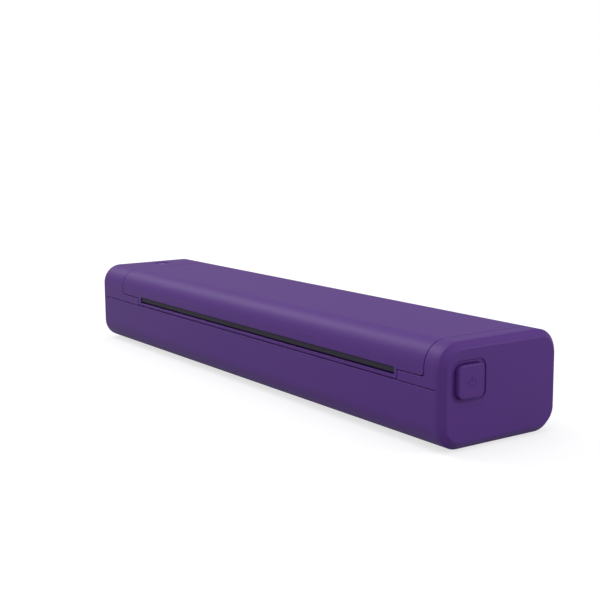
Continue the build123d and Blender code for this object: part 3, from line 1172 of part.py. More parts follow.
NODES = {
    "bottom_housing": bottom_housing, "top_frame": top_frame, "left_end_cap": left_end_cap,
    "right_end_cap": right_end_cap, "rubber_feet": rubber_feet, "case_screws": case_screws,
    "chassis": chassis, "chassis_screws": chassis_screws, "stepper_motor": stepper_motor,
    "motor_screws": motor_screws, "motor_shaft": motor_shaft, "motor_pinion": motor_pinion,
    "reduction_gear": reduction_gear, "idler_gear": idler_gear, "gear_axles": gear_axles,
    "axle_clips": axle_clips, "platen_shaft": platen_shaft, "platen_roller": platen_roller,
    "platen_gear": platen_gear, "platen_clip": platen_clip, "platen_bushes": platen_bushes,
    "head_heatsink": head_heatsink, "thermal_head": thermal_head, "head_cover": head_cover,
    "head_pivot_pin": head_pivot_pin, "head_springs": head_springs, "lid": lid, "lid_liner": lid_liner,
    "liner_screws": liner_screws, "hinge_pins": hinge_pins, "power_button": power_button,
    "switch_plunger": switch_plunger, "tact_switch": tact_switch, "button_board": button_board,
    "main_board": main_board, "main_board_parts": main_board_parts, "charge_board": charge_board,
    "board_screws": board_screws, "usb_socket": usb_socket, "indicator_led": indicator_led,
    "indicator_lens": indicator_lens, "paper_sensor": paper_sensor, "battery_cells": battery_cells,
    "battery_cradle": battery_cradle}


def main():
    os.makedirs("parts", exist_ok=True)
    for name, make in NODES.items():
        made = make()
        shape = Compound(children=made) if isinstance(made, list) else made
        export_step(shape, f"parts/{name}.step")


main()
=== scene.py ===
import json
import math

import bmesh
import bpy
from mathutils import Matrix, Vector

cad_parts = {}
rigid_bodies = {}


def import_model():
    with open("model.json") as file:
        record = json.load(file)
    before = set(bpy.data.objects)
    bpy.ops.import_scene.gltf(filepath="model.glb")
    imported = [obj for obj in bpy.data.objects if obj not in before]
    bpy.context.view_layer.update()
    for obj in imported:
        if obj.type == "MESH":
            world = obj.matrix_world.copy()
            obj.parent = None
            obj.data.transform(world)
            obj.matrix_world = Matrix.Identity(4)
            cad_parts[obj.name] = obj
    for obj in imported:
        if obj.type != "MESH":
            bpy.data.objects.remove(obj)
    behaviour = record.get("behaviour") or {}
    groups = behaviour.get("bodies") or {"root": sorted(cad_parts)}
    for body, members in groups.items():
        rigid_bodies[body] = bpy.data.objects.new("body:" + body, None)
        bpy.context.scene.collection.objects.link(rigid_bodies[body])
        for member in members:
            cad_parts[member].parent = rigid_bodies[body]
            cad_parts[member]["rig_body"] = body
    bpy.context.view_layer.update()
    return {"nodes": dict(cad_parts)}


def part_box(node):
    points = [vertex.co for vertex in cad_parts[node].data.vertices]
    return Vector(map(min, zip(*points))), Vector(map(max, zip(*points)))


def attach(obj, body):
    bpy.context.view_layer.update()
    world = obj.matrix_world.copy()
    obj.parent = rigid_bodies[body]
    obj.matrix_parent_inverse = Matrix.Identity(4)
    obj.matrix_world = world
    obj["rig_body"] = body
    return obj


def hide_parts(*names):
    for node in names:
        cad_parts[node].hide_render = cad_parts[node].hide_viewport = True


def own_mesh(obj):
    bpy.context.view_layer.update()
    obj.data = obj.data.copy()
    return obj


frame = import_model()
NODES = frame["nodes"]
MM = 0.001

# The colour sockets of a Mix node, which has a set of sockets for each data type.
MIX_A, MIX_B, MIX_RESULT = 6, 7, 2

bl_info = {
    "name": "Stencil Printer Dresser",
    "version": (1, 0, 0),
    "blender": (4, 5, 0),
    "location": "View3D > Sidebar > Printer",
    "description": "Finishes the pieces of a portable thermal printer around its CAD frame",
    "category": "Object",
}


# Small helpers


def linear(hex_colour, alpha=1.0):
    """An sRGB hex colour as the linear colour that shaders take."""
    parts = [int(hex_colour[i:i + 2], 16) / 255 for i in (1, 3, 5)]
    curve = [p / 12.92 if p <= 0.04045 else ((p + 0.055) / 1.055) ** 2.4 for p in parts]
    return (*curve, alpha)


def add(tree, kind, links=(), values=(), **settings):
    """Adds a node: settings are its attributes, values its sockets, links what feeds them."""
    node = tree.nodes.new(kind)
    for key, value in settings.items():
        setattr(node, key, value)
    for key, value in values:
        node.inputs[key].default_value = value
    for key, socket in links:
        tree.links.new(socket, node.inputs[key])
    return node


def new_material(name):
    """A material with an empty tree, its shader and its output."""
    material = bpy.data.materials.new(name)
    material.use_nodes = True
    tree = material.node_tree
    tree.nodes.clear()
    shader = add(tree, "ShaderNodeBsdfPrincipled")
    add(tree, "ShaderNodeOutputMaterial", links=[("Surface", shader.outputs["BSDF"])])
    return material, tree, shader


def object_noise(tree, size_mm, detail=2.0, stretch=(1.0, 1.0, 1.0)):
    """Noise on Object coordinates whose features are about size_mm across."""
    place = add(tree, "ShaderNodeTexCoord")
    stretched = add(tree, "ShaderNodeMapping", [("Vector", place.outputs["Object"])], [("Scale", stretch)])
    return add(tree, "ShaderNodeTexNoise", [("Vector", stretched.outputs["Vector"])],
               [("Scale", 1.0 / (size_mm * MM)), ("Detail", detail)])


def ramped(tree, source, low, high):
    """A number from 0 to 1 spread between low and high."""
    return add(tree, "ShaderNodeMapRange", [("Value", source)], [("To Min", low), ("To Max", high)])


def tinted(tree, source, colour_a, colour_b):
    """A colour between two, steered by a number."""
    mixed = add(tree, "ShaderNodeMix", [("Factor", source)], data_type="RGBA")
    mixed.inputs[MIX_A].default_value = colour_a
    mixed.inputs[MIX_B].default_value = colour_b
    return mixed.outputs[MIX_RESULT]


def relief(tree, shader, height, distance_mm, strength):
    """Bump of a real depth on a shader's normal."""
    bump = add(tree, "ShaderNodeBump", [("Height", height)],
               [("Distance", distance_mm * MM), ("Strength", strength)])
    tree.links.new(bump.outputs["Normal"], shader.inputs["Normal"])


def shaded(hex_colour, factor):
    """A hex colour made lighter or darker by a factor, in linear light."""
    red, green, blue, alpha = linear(hex_colour)
    return (red * factor, green * factor, blue * factor, alpha)


# Materials


# The spark-eroded grain of the case, and the span over which its shade drifts.
GRAIN_MM = 0.35
GRAIN_DEPTH_MM = 0.006
DRIFT_MM = 38.0
GRAIN_POLISH = 0.05

# The lines of ground or drawn metal.
LINE_MM = 0.12
LINE_POLISH = 0.08

# The cells of zinc plating.
PLATING_CELL = 4.0 * MM

# The print head: half the width of its heater line, its border in such halves, and its dots.
HEATER_HALF_WIDTH = 0.18 * MM
HEATER_BORDER = 5
DOT_PITCH = 0.5 * MM
# A Wave texture's bands repeat after about this length divided by its scale.
WAVE_LENGTH = 0.31

# The spacing of the drawn traces of a board; real ones are too fine to show.
TRACE_SPACING = 9.0 * MM


def moulded_abs(name, hex_colour, roughness, sheen):
    """ABS moulded against a spark-eroded tool: a satin skin whose fine grain softens every reflection."""
    material, tree, shader = new_material(name)
    grain = object_noise(tree, GRAIN_MM, detail=3.0)
    drift = object_noise(tree, DRIFT_MM, detail=1.0)
    colour = tinted(tree, drift.outputs["Fac"], shaded(hex_colour, 0.97), shaded(hex_colour, 1.03))
    tree.links.new(colour, shader.inputs["Base Color"])
    polish = ramped(tree, grain.outputs["Fac"], roughness - GRAIN_POLISH, roughness + GRAIN_POLISH)
    tree.links.new(polish.outputs["Result"], shader.inputs["Roughness"])
    shader.inputs["IOR"].default_value = 1.5
    shader.inputs["Specular IOR Level"].default_value = sheen
    relief(tree, shader, grain.outputs["Fac"], distance_mm=GRAIN_DEPTH_MM, strength=0.6)
    return material


def moulded_acetal(name, hex_colour):
    """Acetal gears and bushes: milky, slightly waxy, with light passing a little way in."""
    material, tree, shader = new_material(name)
    grain = object_noise(tree, size_mm=0.6)
    colour = tinted(tree, grain.outputs["Fac"], shaded(hex_colour, 0.96), shaded(hex_colour, 1.0))
    tree.links.new(colour, shader.inputs["Base Color"])
    shader.inputs["Roughness"].default_value = 0.38
    shader.inputs["IOR"].default_value = 1.48
    shader.inputs["Subsurface Weight"].default_value = 0.08
    shader.inputs["Subsurface Scale"].default_value = 1.2 * MM
    relief(tree, shader, grain.outputs["Fac"], distance_mm=0.004, strength=0.5)
    return material


def ground_metal(name, hex_colour, roughness, stretch):
    """Metal ground or drawn in one direction: fine lines that draw its highlights out across them."""
    material, tree, shader = new_material(name)
    lines = object_noise(tree, LINE_MM, stretch=stretch)
    colour = tinted(tree, lines.outputs["Fac"], shaded(hex_colour, 0.9), shaded(hex_colour, 1.05))
    tree.links.new(colour, shader.inputs["Base Color"])
    polish = ramped(tree, lines.outputs["Fac"], roughness - LINE_POLISH, roughness + LINE_POLISH)
    tree.links.new(polish.outputs["Result"], shader.inputs["Roughness"])
    shader.inputs["Metallic"].default_value = 1.0
    relief(tree, shader, lines.outputs["Fac"], distance_mm=0.004, strength=0.4)
    return material


def zinc_sheet(name):
    """Zinc-plated sheet steel: grey, with the faint cells of the plating."""
    material, tree, shader = new_material(name)
    place = add(tree, "ShaderNodeTexCoord")
    cells = add(tree, "ShaderNodeTexVoronoi", [("Vector", place.outputs["Object"])],
                [("Scale", 1 / PLATING_CELL)])
    colour = tinted(tree, cells.outputs["Distance"], linear("#8f9296"), linear("#b4b7ba"))
    tree.links.new(colour, shader.inputs["Base Color"])
    polish = ramped(tree, cells.outputs["Distance"], low=0.34, high=0.5)
    tree.links.new(polish.outputs["Result"], shader.inputs["Roughness"])
    shader.inputs["Metallic"].default_value = 1.0
    return material


def ground_rubber(name, hex_colour, grain_mm, roughness):
    """Rubber ground on its shaft: dull, with rings too fine to feel that break up its shine."""
    material, tree, shader = new_material(name)
    rings = object_noise(tree, grain_mm, stretch=(1.0, 0.15, 0.15))
    dust = object_noise(tree, size_mm=6.0)
    colour = tinted(tree, dust.outputs["Fac"], shaded(hex_colour, 0.85), shaded(hex_colour, 1.25))
    tree.links.new(colour, shader.inputs["Base Color"])
    shader.inputs["Roughness"].default_value = roughness
    shader.inputs["IOR"].default_value = 1.43
    relief(tree, shader, rings.outputs["Fac"], distance_mm=0.01, strength=0.7)
    return material


def glazed_alumina(name, line_y):
    """The print head's alumina strip: pale glaze with the brown heater line under the platen."""
    material, tree, shader = new_material(name)
    place = add(tree, "ShaderNodeTexCoord")
    axes = add(tree, "ShaderNodeSeparateXYZ", [("Vector", place.outputs["Object"])])
    away = add(tree, "ShaderNodeMath", [(0, axes.outputs["Y"])], [(1, line_y)], operation="SUBTRACT")
    distance = add(tree, "ShaderNodeMath", [(0, away.outputs[0])], operation="ABSOLUTE")
    on_line = add(tree, "ShaderNodeMath", [(0, distance.outputs[0])], [(1, HEATER_HALF_WIDTH)],
                  operation="LESS_THAN")
    beside = add(tree, "ShaderNodeMath", [(0, distance.outputs[0])],
                 [(1, HEATER_BORDER * HEATER_HALF_WIDTH)], operation="LESS_THAN")
    dots = add(tree, "ShaderNodeTexWave", [("Vector", place.outputs["Object"])],
               [("Scale", WAVE_LENGTH / DOT_PITCH), ("Distortion", 0.0)], wave_type="BANDS",
               bands_direction="X")
    traces = tinted(tree, dots.outputs["Fac"], linear("#b99558"), linear("#d9d2c0"))
    ground = add(tree, "ShaderNodeMix", [("Factor", beside.outputs[0])], data_type="RGBA")
    ground.inputs[MIX_A].default_value = linear("#e4e0d6")
    tree.links.new(traces, ground.inputs[MIX_B])
    final = add(tree, "ShaderNodeMix", [("Factor", on_line.outputs[0])], data_type="RGBA")
    tree.links.new(ground.outputs[MIX_RESULT], final.inputs[MIX_A])
    final.inputs[MIX_B].default_value = linear("#3b2419")
    tree.links.new(final.outputs[MIX_RESULT], shader.inputs["Base Color"])
    shader.inputs["Roughness"].default_value = 0.12
    shader.inputs["Coat Weight"].default_value = 0.6
    shader.inputs["Coat Roughness"].default_value = 0.05
    return material


def solder_mask(name):
    """A circuit board: green mask over copper, with the traces showing as a slightly lighter relief."""
    material, tree, shader = new_material(name)
    place = add(tree, "ShaderNodeTexCoord")
    traces = add(tree, "ShaderNodeTexBrick", [("Vector", place.outputs["Object"])],
                 [("Scale", 1 / TRACE_SPACING), ("Mortar Size", 0.035), ("Color1", linear("#0d3f24")),
                  ("Color2", linear("#0f4629")), ("Mortar", linear("#2b7548"))])
    tree.links.new(traces.outputs["Color"], shader.inputs["Base Color"])
    shader.inputs["Roughness"].default_value = 0.3
    relief(tree, shader, traces.outputs["Fac"], distance_mm=0.03, strength=0.5)
    return material


def moulded_epoxy(name, hex_colour, roughness):
    """Chip packages and small switch parts: near black epoxy with a fine matt skin."""
    material, tree, shader = new_material(name)
    grain = object_noise(tree, size_mm=0.2)
    colour = tinted(tree, grain.outputs["Fac"], shaded(hex_colour, 0.8), shaded(hex_colour, 1.3))
    tree.links.new(colour, shader.inputs["Base Color"])
    shader.inputs["Roughness"].default_value = roughness
    return material


def shrink_film(name, hex_colour):
    """PVC film shrunk round the cells: glossy, with long faint tension lines."""
    material, tree, shader = new_material(name)
    lines = object_noise(tree, size_mm=2.5, stretch=(0.1, 1.0, 1.0))
    colour = tinted(tree, lines.outputs["Fac"], shaded(hex_colour, 0.9), shaded(hex_colour, 1.1))
    tree.links.new(colour, shader.inputs["Base Color"])
    shader.inputs["Roughness"].default_value = 0.2
    relief(tree, shader, lines.outputs["Fac"], distance_mm=0.05, strength=0.4)
    return material


def frosted_acrylic(name, hex_colour):
    """The indicator's light pipe: milky acrylic that glows softly where light enters it."""
    material, tree, shader = new_material(name)
    haze = object_noise(tree, size_mm=0.5)
    colour = tinted(tree, haze.outputs["Fac"], shaded(hex_colour, 0.92), shaded(hex_colour, 1.0))
    tree.links.new(colour, shader.inputs["Base Color"])
    shader.inputs["Roughness"].default_value = 0.35
    shader.inputs["IOR"].default_value = 1.49
    shader.inputs["Transmission Weight"].default_value = 0.35
    return material


# Settings


class PrinterCaseSettings(bpy.types.PropertyGroup):
    """Sizes and colours of the moulded case."""

    case_colour: bpy.props.StringProperty(
        name="Case colour", description="sRGB hex colour of the moulded case", default="#522e7b")
    guide_colour: bpy.props.StringProperty(
        name="Guide colour", description="sRGB hex colour of the paper guide in the slot", default="#322f3a")
    edge_radius: bpy.props.FloatProperty(
        name="Edge radius", description="Radius of the case's moulded edges", default=0.16 * MM,
        unit="LENGTH")
    small_edge_radius: bpy.props.FloatProperty(
        name="Small edge radius", description="Radius of the edges of inner pieces", default=0.1 * MM,
        unit="LENGTH")
    roughness: bpy.props.FloatProperty(
        name="Roughness", description="Roughness of the matt skin", default=0.5, subtype="FACTOR")
    sheen: bpy.props.FloatProperty(
        name="Sheen", description="How much the fine texture leaves of the skin's reflection", default=0.2,
        subtype="FACTOR")


class PrinterStageSettings(bpy.types.PropertyGroup):
    """The camera and lamps."""

    camera_place: bpy.props.FloatVectorProperty(
        name="Camera place", description="Where the camera stands", default=(0.45281, -0.30481, 0.12511),
        subtype="TRANSLATION")
    camera_yaw: bpy.props.FloatProperty(
        name="Yaw", description="Turn from the +Y direction", default=-0.9680, subtype="ANGLE")
    camera_pitch: bpy.props.FloatProperty(
        name="Pitch", description="Tilt above the horizon", default=-0.1580, subtype="ANGLE")
    camera_roll: bpy.props.FloatProperty(
        name="Roll", description="Turn about the line of sight", default=-0.0070, subtype="ANGLE")
    focal_share: bpy.props.FloatProperty(
        name="Focal share", description="Focal length as a share of the image width", default=1.848113)
    key_power: bpy.props.FloatProperty(
        name="Key power", description="Power of the overhead softbox", default=12.8, unit="POWER")
    edge_power: bpy.props.FloatProperty(
        name="Edge power", description="Power of the lamp that draws the front edge", default=27.0,
        unit="POWER")
    rear_power: bpy.props.FloatProperty(
        name="Rear power", description="Power of the lamp behind the right end", default=9.6, unit="POWER")
    front_power: bpy.props.FloatProperty(
        name="Front power", description="Power of the softbox in front", default=5.6, unit="POWER")
    fill: bpy.props.FloatProperty(
        name="Fill", description="Strength of the even light of the room", default=0.76)


# Making pieces


# Points closer than WELD are one point; faces closer in angle than FLAT_ANGLE are one face, and those further
# apart than SHARP_ANGLE meet at a crease.
WELD = 0.0005 * MM
FLAT_ANGLE = math.radians(0.2)
SHARP_ANGLE = math.radians(28.0)

# Share of the small edge radius that gear teeth and the print head get.
FINE_EDGE_SHARE = 0.5

# The bevel of the power button, whose engraved mark is only 0.4 mm wide. Its outer edges are rounded in
# the CAD.
MARK_EDGE_RADIUS = 0.03 * MM


def smooth_faces(shape):
    """Smooth shading with a crease wherever two faces meet at more than the sharp angle."""
    for face in shape.faces:
        face.smooth = True
    for edge in shape.edges:
        edge.smooth = not (edge.is_manifold and edge.calc_face_angle() > SHARP_ANGLE)


def piece_from(shape, name, body, material):
    """Turns a bmesh into a piece that rides on a body."""
    mesh = bpy.data.meshes.new(name)
    shape.to_mesh(mesh)
    shape.free()
    piece = bpy.data.objects.new(name, mesh)
    bpy.context.scene.collection.objects.link(piece)
    piece.data.materials.append(material)
    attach(piece, body)
    return piece


def round_edges(piece, radius):
    """A live bevel that rounds a piece's sharp edges as a mould does."""
    bevel = piece.modifiers.new("edges", "BEVEL")
    bevel.width = radius
    bevel.segments = 2
    bevel.limit_method = "ANGLE"
    bevel.angle_limit = SHARP_ANGLE
    bevel.profile = 0.5
    bevel.use_clamp_overlap = False
    bevel.harden_normals = True
    bevel.miter_outer = "MITER_ARC"


def flatten_shading(piece):
    """Keeps the shading of large flat faces flat where small fillets run into them."""
    weighted = piece.modifiers.new("flat_faces", "WEIGHTED_NORMAL")
    weighted.mode = "FACE_AREA"
    weighted.weight = 100
    weighted.keep_sharp = True


def welded(node):
    """A bmesh of a CAD node with its loose triangles merged into whole faces."""
    shape = bmesh.new()
    shape.from_mesh(NODES[node].data)
    bmesh.ops.remove_doubles(shape, verts=shape.verts, dist=WELD)
    bmesh.ops.dissolve_limit(shape, angle_limit=FLAT_ANGLE, verts=shape.verts, edges=shape.edges)
    smooth_faces(shape)
    return shape


def finished(node, name, material, radius):
    """A smooth, edge-rounded piece that stands for a CAD node."""
    body = NODES[node]["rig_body"]
    piece = piece_from(welded(node), name, body, material)
    if radius > 0:
        round_edges(piece, radius)
        flatten_shading(piece)
    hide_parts(node)


def dress(operator, names, material, radius):
    """Finishes several nodes in one material; raises an error if one is missing."""
    for node in names:
        if node not in NODES:
            raise RuntimeError(f"{operator.bl_idname}: no node {node}")
        finished(node, f"{node}_finish", material, radius)


def press_springs():
    """Gives the finished springs under the head their own copy of their mesh."""
    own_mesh(bpy.data.objects["head_springs_finish"])


# Operators


class PRINTER_OT_case(bpy.types.Operator):
    """Finishes the case halves, the end caps, the lid and the power button in satin ABS"""

    bl_idname = "printer.case"
    bl_label = "Case and lid"

    def execute(self, context):
        settings = context.scene.printer_case
        skin = moulded_abs("moulded_satin_abs_violet", settings.case_colour, settings.roughness,
                           settings.sheen)
        dress(self, ("bottom_housing", "top_frame", "left_end_cap", "right_end_cap", "lid"), skin,
              settings.edge_radius)
        dress(self, ("power_button",), skin, MARK_EDGE_RADIUS)
        return {"FINISHED"}


class PRINTER_OT_paper_path(bpy.types.Operator):
    """Finishes the black paper guide, the sensor and the head's cover"""

    bl_idname = "printer.paper_path"
    bl_label = "Paper guide"

    def execute(self, context):
        settings = context.scene.printer_case
        black = moulded_abs("moulded_black_abs", settings.guide_colour, roughness=0.55, sheen=0.12)
        dress(self, ("lid_liner", "head_cover", "paper_sensor", "battery_cradle"), black,
              settings.small_edge_radius)
        return {"FINISHED"}


class PRINTER_OT_platen(bpy.types.Operator):
    """Finishes the platen's rubber, shaft, bushes, gear and clip"""

    bl_idname = "printer.platen"
    bl_label = "Platen"

    def execute(self, context):
        edge = context.scene.printer_case.small_edge_radius
        rubber = ground_rubber("ground_silicone_rubber", "#2b2b2d", grain_mm=0.3, roughness=0.62)
        steel = ground_metal("ground_steel_shaft", "#c4c5c8", roughness=0.28, stretch=(1.0, 0.2, 0.2))
        acetal = moulded_acetal("moulded_white_acetal", "#e6e3d8")
        dress(self, ("platen_roller",), rubber, edge)
        dress(self, ("platen_shaft", "platen_clip"), steel, edge)
        dress(self, ("platen_bushes", "platen_gear", "idler_gear", "reduction_gear"), acetal,
              FINE_EDGE_SHARE * edge)
        return {"FINISHED"}


class PRINTER_OT_print_head(bpy.types.Operator):
    """Finishes the print head, its pivot pin and its springs"""

    bl_idname = "printer.print_head"
    bl_label = "Print head"

    def execute(self, context):
        edge = context.scene.printer_case.small_edge_radius
        low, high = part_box("platen_roller")
        alumina = glazed_alumina("glazed_alumina_head", (low.y + high.y) / 2)
        aluminium = ground_metal("extruded_aluminium", "#cdd0d3", roughness=0.4, stretch=(0.05, 1.0, 1.0))
        steel = ground_metal("drawn_spring_steel", "#a9abaf", roughness=0.3, stretch=(1.0, 1.0, 0.3))
        dress(self, ("thermal_head",), alumina, FINE_EDGE_SHARE * edge)
        dress(self, ("head_heatsink",), aluminium, edge)
        dress(self, ("head_pivot_pin",), steel, edge)
        dress(self, ("head_springs",), steel, 0)
        press_springs()
        return {"FINISHED"}


class PRINTER_OT_drive(bpy.types.Operator):
    """Finishes the chassis, the motor, its pinion, the axles and the clips"""

    bl_idname = "printer.drive"
    bl_label = "Chassis and drive"

    def execute(self, context):
        edge = context.scene.printer_case.small_edge_radius
        sheet = zinc_sheet("zinc_plated_sheet")
        steel = ground_metal("turned_steel", "#bfc0c3", roughness=0.32, stretch=(1.0, 0.3, 0.3))
        brass = ground_metal("turned_brass", "#c9a24e", roughness=0.3, stretch=(1.0, 0.3, 0.3))
        dress(self, ("chassis", "stepper_motor"), sheet, edge)
        dress(self, ("motor_shaft", "gear_axles", "axle_clips", "hinge_pins"), steel, edge)
        dress(self, ("motor_pinion",), brass, FINE_EDGE_SHARE * edge)
        return {"FINISHED"}


class PRINTER_OT_electronics(bpy.types.Operator):
    """Finishes the boards, their parts, the socket, the battery and the indicator"""

    bl_idname = "printer.electronics"
    bl_label = "Boards and battery"

    def execute(self, context):
        edge = context.scene.printer_case.small_edge_radius
        mask = solder_mask("green_solder_mask")
        epoxy = moulded_epoxy("moulded_epoxy", "#1b1b1e", roughness=0.45)
        film = shrink_film("pvc_shrink_film", "#2f5e9a")
        nickel = ground_metal("nickel_plated_shell", "#bdbdbb", roughness=0.22, stretch=(0.3, 1.0, 1.0))
        acrylic = frosted_acrylic("frosted_acrylic", "#a99cc4")
        lamp = moulded_epoxy("lamp_resin", "#d8d2a8", roughness=0.3)
        dress(self, ("main_board", "charge_board", "button_board"), mask, 0)
        dress(self, ("main_board_parts", "tact_switch", "switch_plunger"), epoxy, edge)
        dress(self, ("battery_cells",), film, edge)
        dress(self, ("usb_socket",), nickel, 0)
        dress(self, ("indicator_lens",), acrylic, edge)
        dress(self, ("indicator_led",), lamp, edge)
        return {"FINISHED"}


class PRINTER_OT_fasteners(bpy.types.Operator):
    """Finishes the screws and the rubber feet"""

    bl_idname = "printer.fasteners"
    bl_label = "Screws and feet"

    def execute(self, context):
        edge = context.scene.printer_case.small_edge_radius
        steel = ground_metal("black_zinc_screw_steel", "#6d6e72", roughness=0.35, stretch=(1.0, 1.0, 1.0))
        rubber = ground_rubber("moulded_foot_rubber", "#222224", grain_mm=0.5, roughness=0.75)
        dress(self, ("case_screws", "chassis_screws", "motor_screws", "board_screws", "liner_screws"), steel,
              edge)
        dress(self, ("rubber_feet",), rubber, edge)
        return {"FINISHED"}


# Stage


# Each softbox: its name, place, target, side length in metres, and the setting with its power.
OBJECT_MIDDLE = (0, 0, 0.02)
RIGHT_END = (0.13, 0, 0.02)
SOFTBOXES = (
    ("overhead", (0.0, 0.0, 2.5), OBJECT_MIDDLE, 2.0, "key_power"),
    ("edge_strip", (-1.9, -0.7, 1.9), OBJECT_MIDDLE, 1.1, "edge_power"),
    ("end_rear", (1.4, 1.2, 0.75), RIGHT_END, 0.5, "rear_power"),
    ("front_box", (0.2, -2.4, 0.9), OBJECT_MIDDLE, 1.0, "front_power"),
)

SENSOR_WIDTH_MM = 36.0
CAMERA_CLIP_START = 0.01

# The floor's colour, roughness and half its side in metres. It glows to the camera by FLOOR_GLOW up to GLOW_FROM
# metres from the object and in full past GLOW_FULL, which keeps a faint shadow under the object on white.
FLOOR_COLOUR = "#98989a"
FLOOR_ROUGHNESS = 0.9
FLOOR_HALF_SIDE = 4.0
FLOOR_GLOW = 0.68
GLOW_FROM = 0.4
GLOW_FULL = 1.4

# Share of the white background that reflections show. At 1 the violet skin turns paler than in the photo.
MIRRORED_SHARE = 0.4


def softbox(name, place, target, size, power):
    """A square area lamp at a place, facing a target."""
    lamp = bpy.data.lights.new(name, "AREA")
    lamp.shape = "RECTANGLE"
    lamp.size = lamp.size_y = size
    lamp.energy = power
    holder = bpy.data.objects.new(name, lamp)
    holder.location = place
    holder.rotation_euler = (Vector(target) - Vector(place)).to_track_quat("-Z", "Y").to_euler()
    bpy.context.scene.collection.objects.link(holder)


def place_camera(settings):
    """A camera at the measured place, turned by yaw, pitch and roll."""
    yaw, pitch, roll = settings.camera_yaw, settings.camera_pitch, settings.camera_roll
    ahead = Vector((math.cos(pitch) * math.sin(yaw), math.cos(pitch) * math.cos(yaw), math.sin(pitch)))
    level = Vector((math.cos(yaw), -math.sin(yaw), 0.0))
    upward = level.cross(ahead)
    right = math.cos(roll) * level + math.sin(roll) * upward
    top = -math.sin(roll) * level + math.cos(roll) * upward
    turn = Matrix((right, top, -ahead)).transposed()
    lens = bpy.data.cameras.new("camera")
    lens.sensor_fit = "HORIZONTAL"
    lens.sensor_width = SENSOR_WIDTH_MM
    lens.lens = lens.sensor_width * settings.focal_share
    lens.clip_start = CAMERA_CLIP_START
    holder = bpy.data.objects.new("camera", lens)
    holder.matrix_world = Matrix.Translation(Vector(settings.camera_place)) @ turn.to_4x4()
    bpy.context.scene.collection.objects.link(holder)
    bpy.context.scene.camera = holder


def background_ray(tree, mirrored_share=MIRRORED_SHARE):
    """1 for the rays that show the background, and mirrored_share for reflected ones."""
    path = add(tree, "ShaderNodeLightPath")
    mirrored = add(tree, "ShaderNodeMath", [(0, path.outputs["Is Glossy Ray"])], [(1, mirrored_share)],
                   operation="MULTIPLY")
    seen = add(tree, "ShaderNodeMath", [(0, path.outputs["Is Camera Ray"]), (1, mirrored.outputs[0])],
               operation="MAXIMUM")
    return add(tree, "ShaderNodeMath", [(0, seen.outputs[0]), (1, path.outputs["Is Transmission Ray"])],
               operation="MAXIMUM").outputs[0]


def white_room(fill):
    """A world that is white to the camera, a share of white in reflections, and an even light elsewhere."""
    world = bpy.data.worlds.new("white_room")
    world.use_nodes = True
    tree = world.node_tree
    tree.nodes.clear()
    even_light = ramped(tree, background_ray(tree, 1.0), fill, 0.0)
    strength = add(tree, "ShaderNodeMath", [(0, even_light.outputs["Result"]), (1, background_ray(tree))],
                   operation="ADD")
    light = add(tree, "ShaderNodeBackground", [("Strength", strength.outputs[0])], [("Color", (1, 1, 1, 1))])
    add(tree, "ShaderNodeOutputWorld", [("Surface", light.outputs["Background"])])
    bpy.context.scene.world = world


def floor_material():
    """Grey painted board that glows to the camera, up to white away from the object and its shadow."""
    material, tree, shader = new_material("pale_studio_floor")
    shader.inputs["Base Color"].default_value = linear(FLOOR_COLOUR)
    shader.inputs["Roughness"].default_value = FLOOR_ROUGHNESS
    place = add(tree, "ShaderNodeTexCoord")
    reach = add(tree, "ShaderNodeVectorMath", [(0, place.outputs["Object"])], operation="LENGTH")
    fade = add(tree, "ShaderNodeMapRange", [("Value", reach.outputs["Value"])],
               [("From Min", GLOW_FROM), ("From Max", GLOW_FULL), ("To Min", FLOOR_GLOW)])
    glow = add(tree, "ShaderNodeMath", [(0, background_ray(tree)), (1, fade.outputs["Result"])],
               operation="MULTIPLY")
    tree.links.new(glow.outputs[0], shader.inputs["Emission Strength"])
    shader.inputs["Emission Color"].default_value = (1.0, 1.0, 1.0, 1.0)
    return material


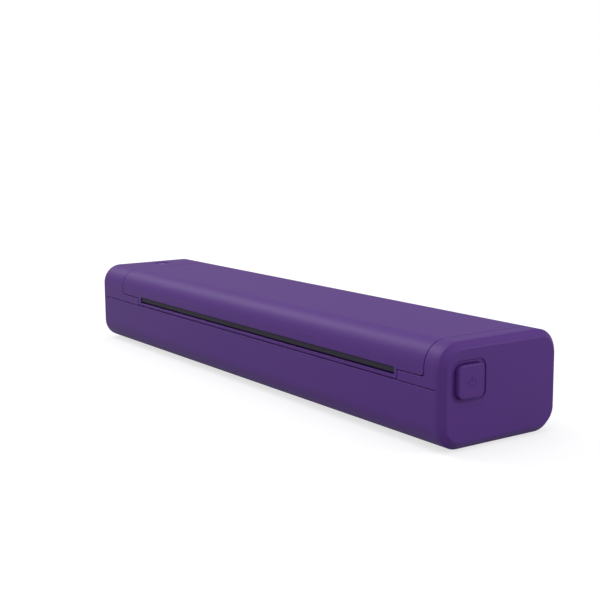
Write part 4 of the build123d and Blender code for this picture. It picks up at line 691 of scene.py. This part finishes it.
class PRINTER_OT_stage(bpy.types.Operator):
    """Sets the pale floor, the white room, the softboxes and the camera"""

    bl_idname = "printer.stage"
    bl_label = "Stage"

    def execute(self, context):
        settings = context.scene.printer_stage
        shape = bmesh.new()
        bmesh.ops.create_grid(shape, x_segments=1, y_segments=1, size=FLOOR_HALF_SIDE)
        mesh = bpy.data.meshes.new("studio_floor")
        shape.to_mesh(mesh)
        shape.free()
        floor = bpy.data.objects.new("studio_floor", mesh)
        context.scene.collection.objects.link(floor)
        floor.data.materials.append(floor_material())
        white_room(settings.fill)
        for name, place, target, size, power in SOFTBOXES:
            softbox(name, place, target, size, getattr(settings, power))
        context.scene.view_settings.view_transform = "Standard"
        place_camera(settings)
        return {"FINISHED"}


OPERATORS = (
    PRINTER_OT_stage, PRINTER_OT_case, PRINTER_OT_paper_path, PRINTER_OT_platen, PRINTER_OT_print_head,
    PRINTER_OT_drive, PRINTER_OT_electronics, PRINTER_OT_fasteners)


class PRINTER_PT_pieces(bpy.types.Panel):
    """Lists the steps that dress the printer"""

    bl_idname = "PRINTER_PT_pieces"
    bl_label = "Stencil Printer"
    bl_space_type = "VIEW_3D"
    bl_region_type = "UI"
    bl_category = "Printer"

    def draw(self, context):
        for settings in (context.scene.printer_case, context.scene.printer_stage):
            column = self.layout.column()
            for key in settings.__annotations__:
                column.prop(settings, key)
        for operator in OPERATORS:
            self.layout.operator(operator.bl_idname)


CLASSES = (PrinterCaseSettings, PrinterStageSettings, *OPERATORS, PRINTER_PT_pieces)


def register():
    for cls in CLASSES:
        bpy.utils.register_class(cls)
    bpy.types.Scene.printer_case = bpy.props.PointerProperty(type=PrinterCaseSettings)
    bpy.types.Scene.printer_stage = bpy.props.PointerProperty(type=PrinterStageSettings)


def unregister():
    del bpy.types.Scene.printer_stage
    del bpy.types.Scene.printer_case
    for cls in reversed(CLASSES):
        bpy.utils.unregister_class(cls)


def main():
    """Runs every step in order."""
    register()
    for operator in OPERATORS:
        group, name = operator.bl_idname.split(".")
        getattr(getattr(bpy.ops, group), name)()


if __name__ == "__main__":
    main()
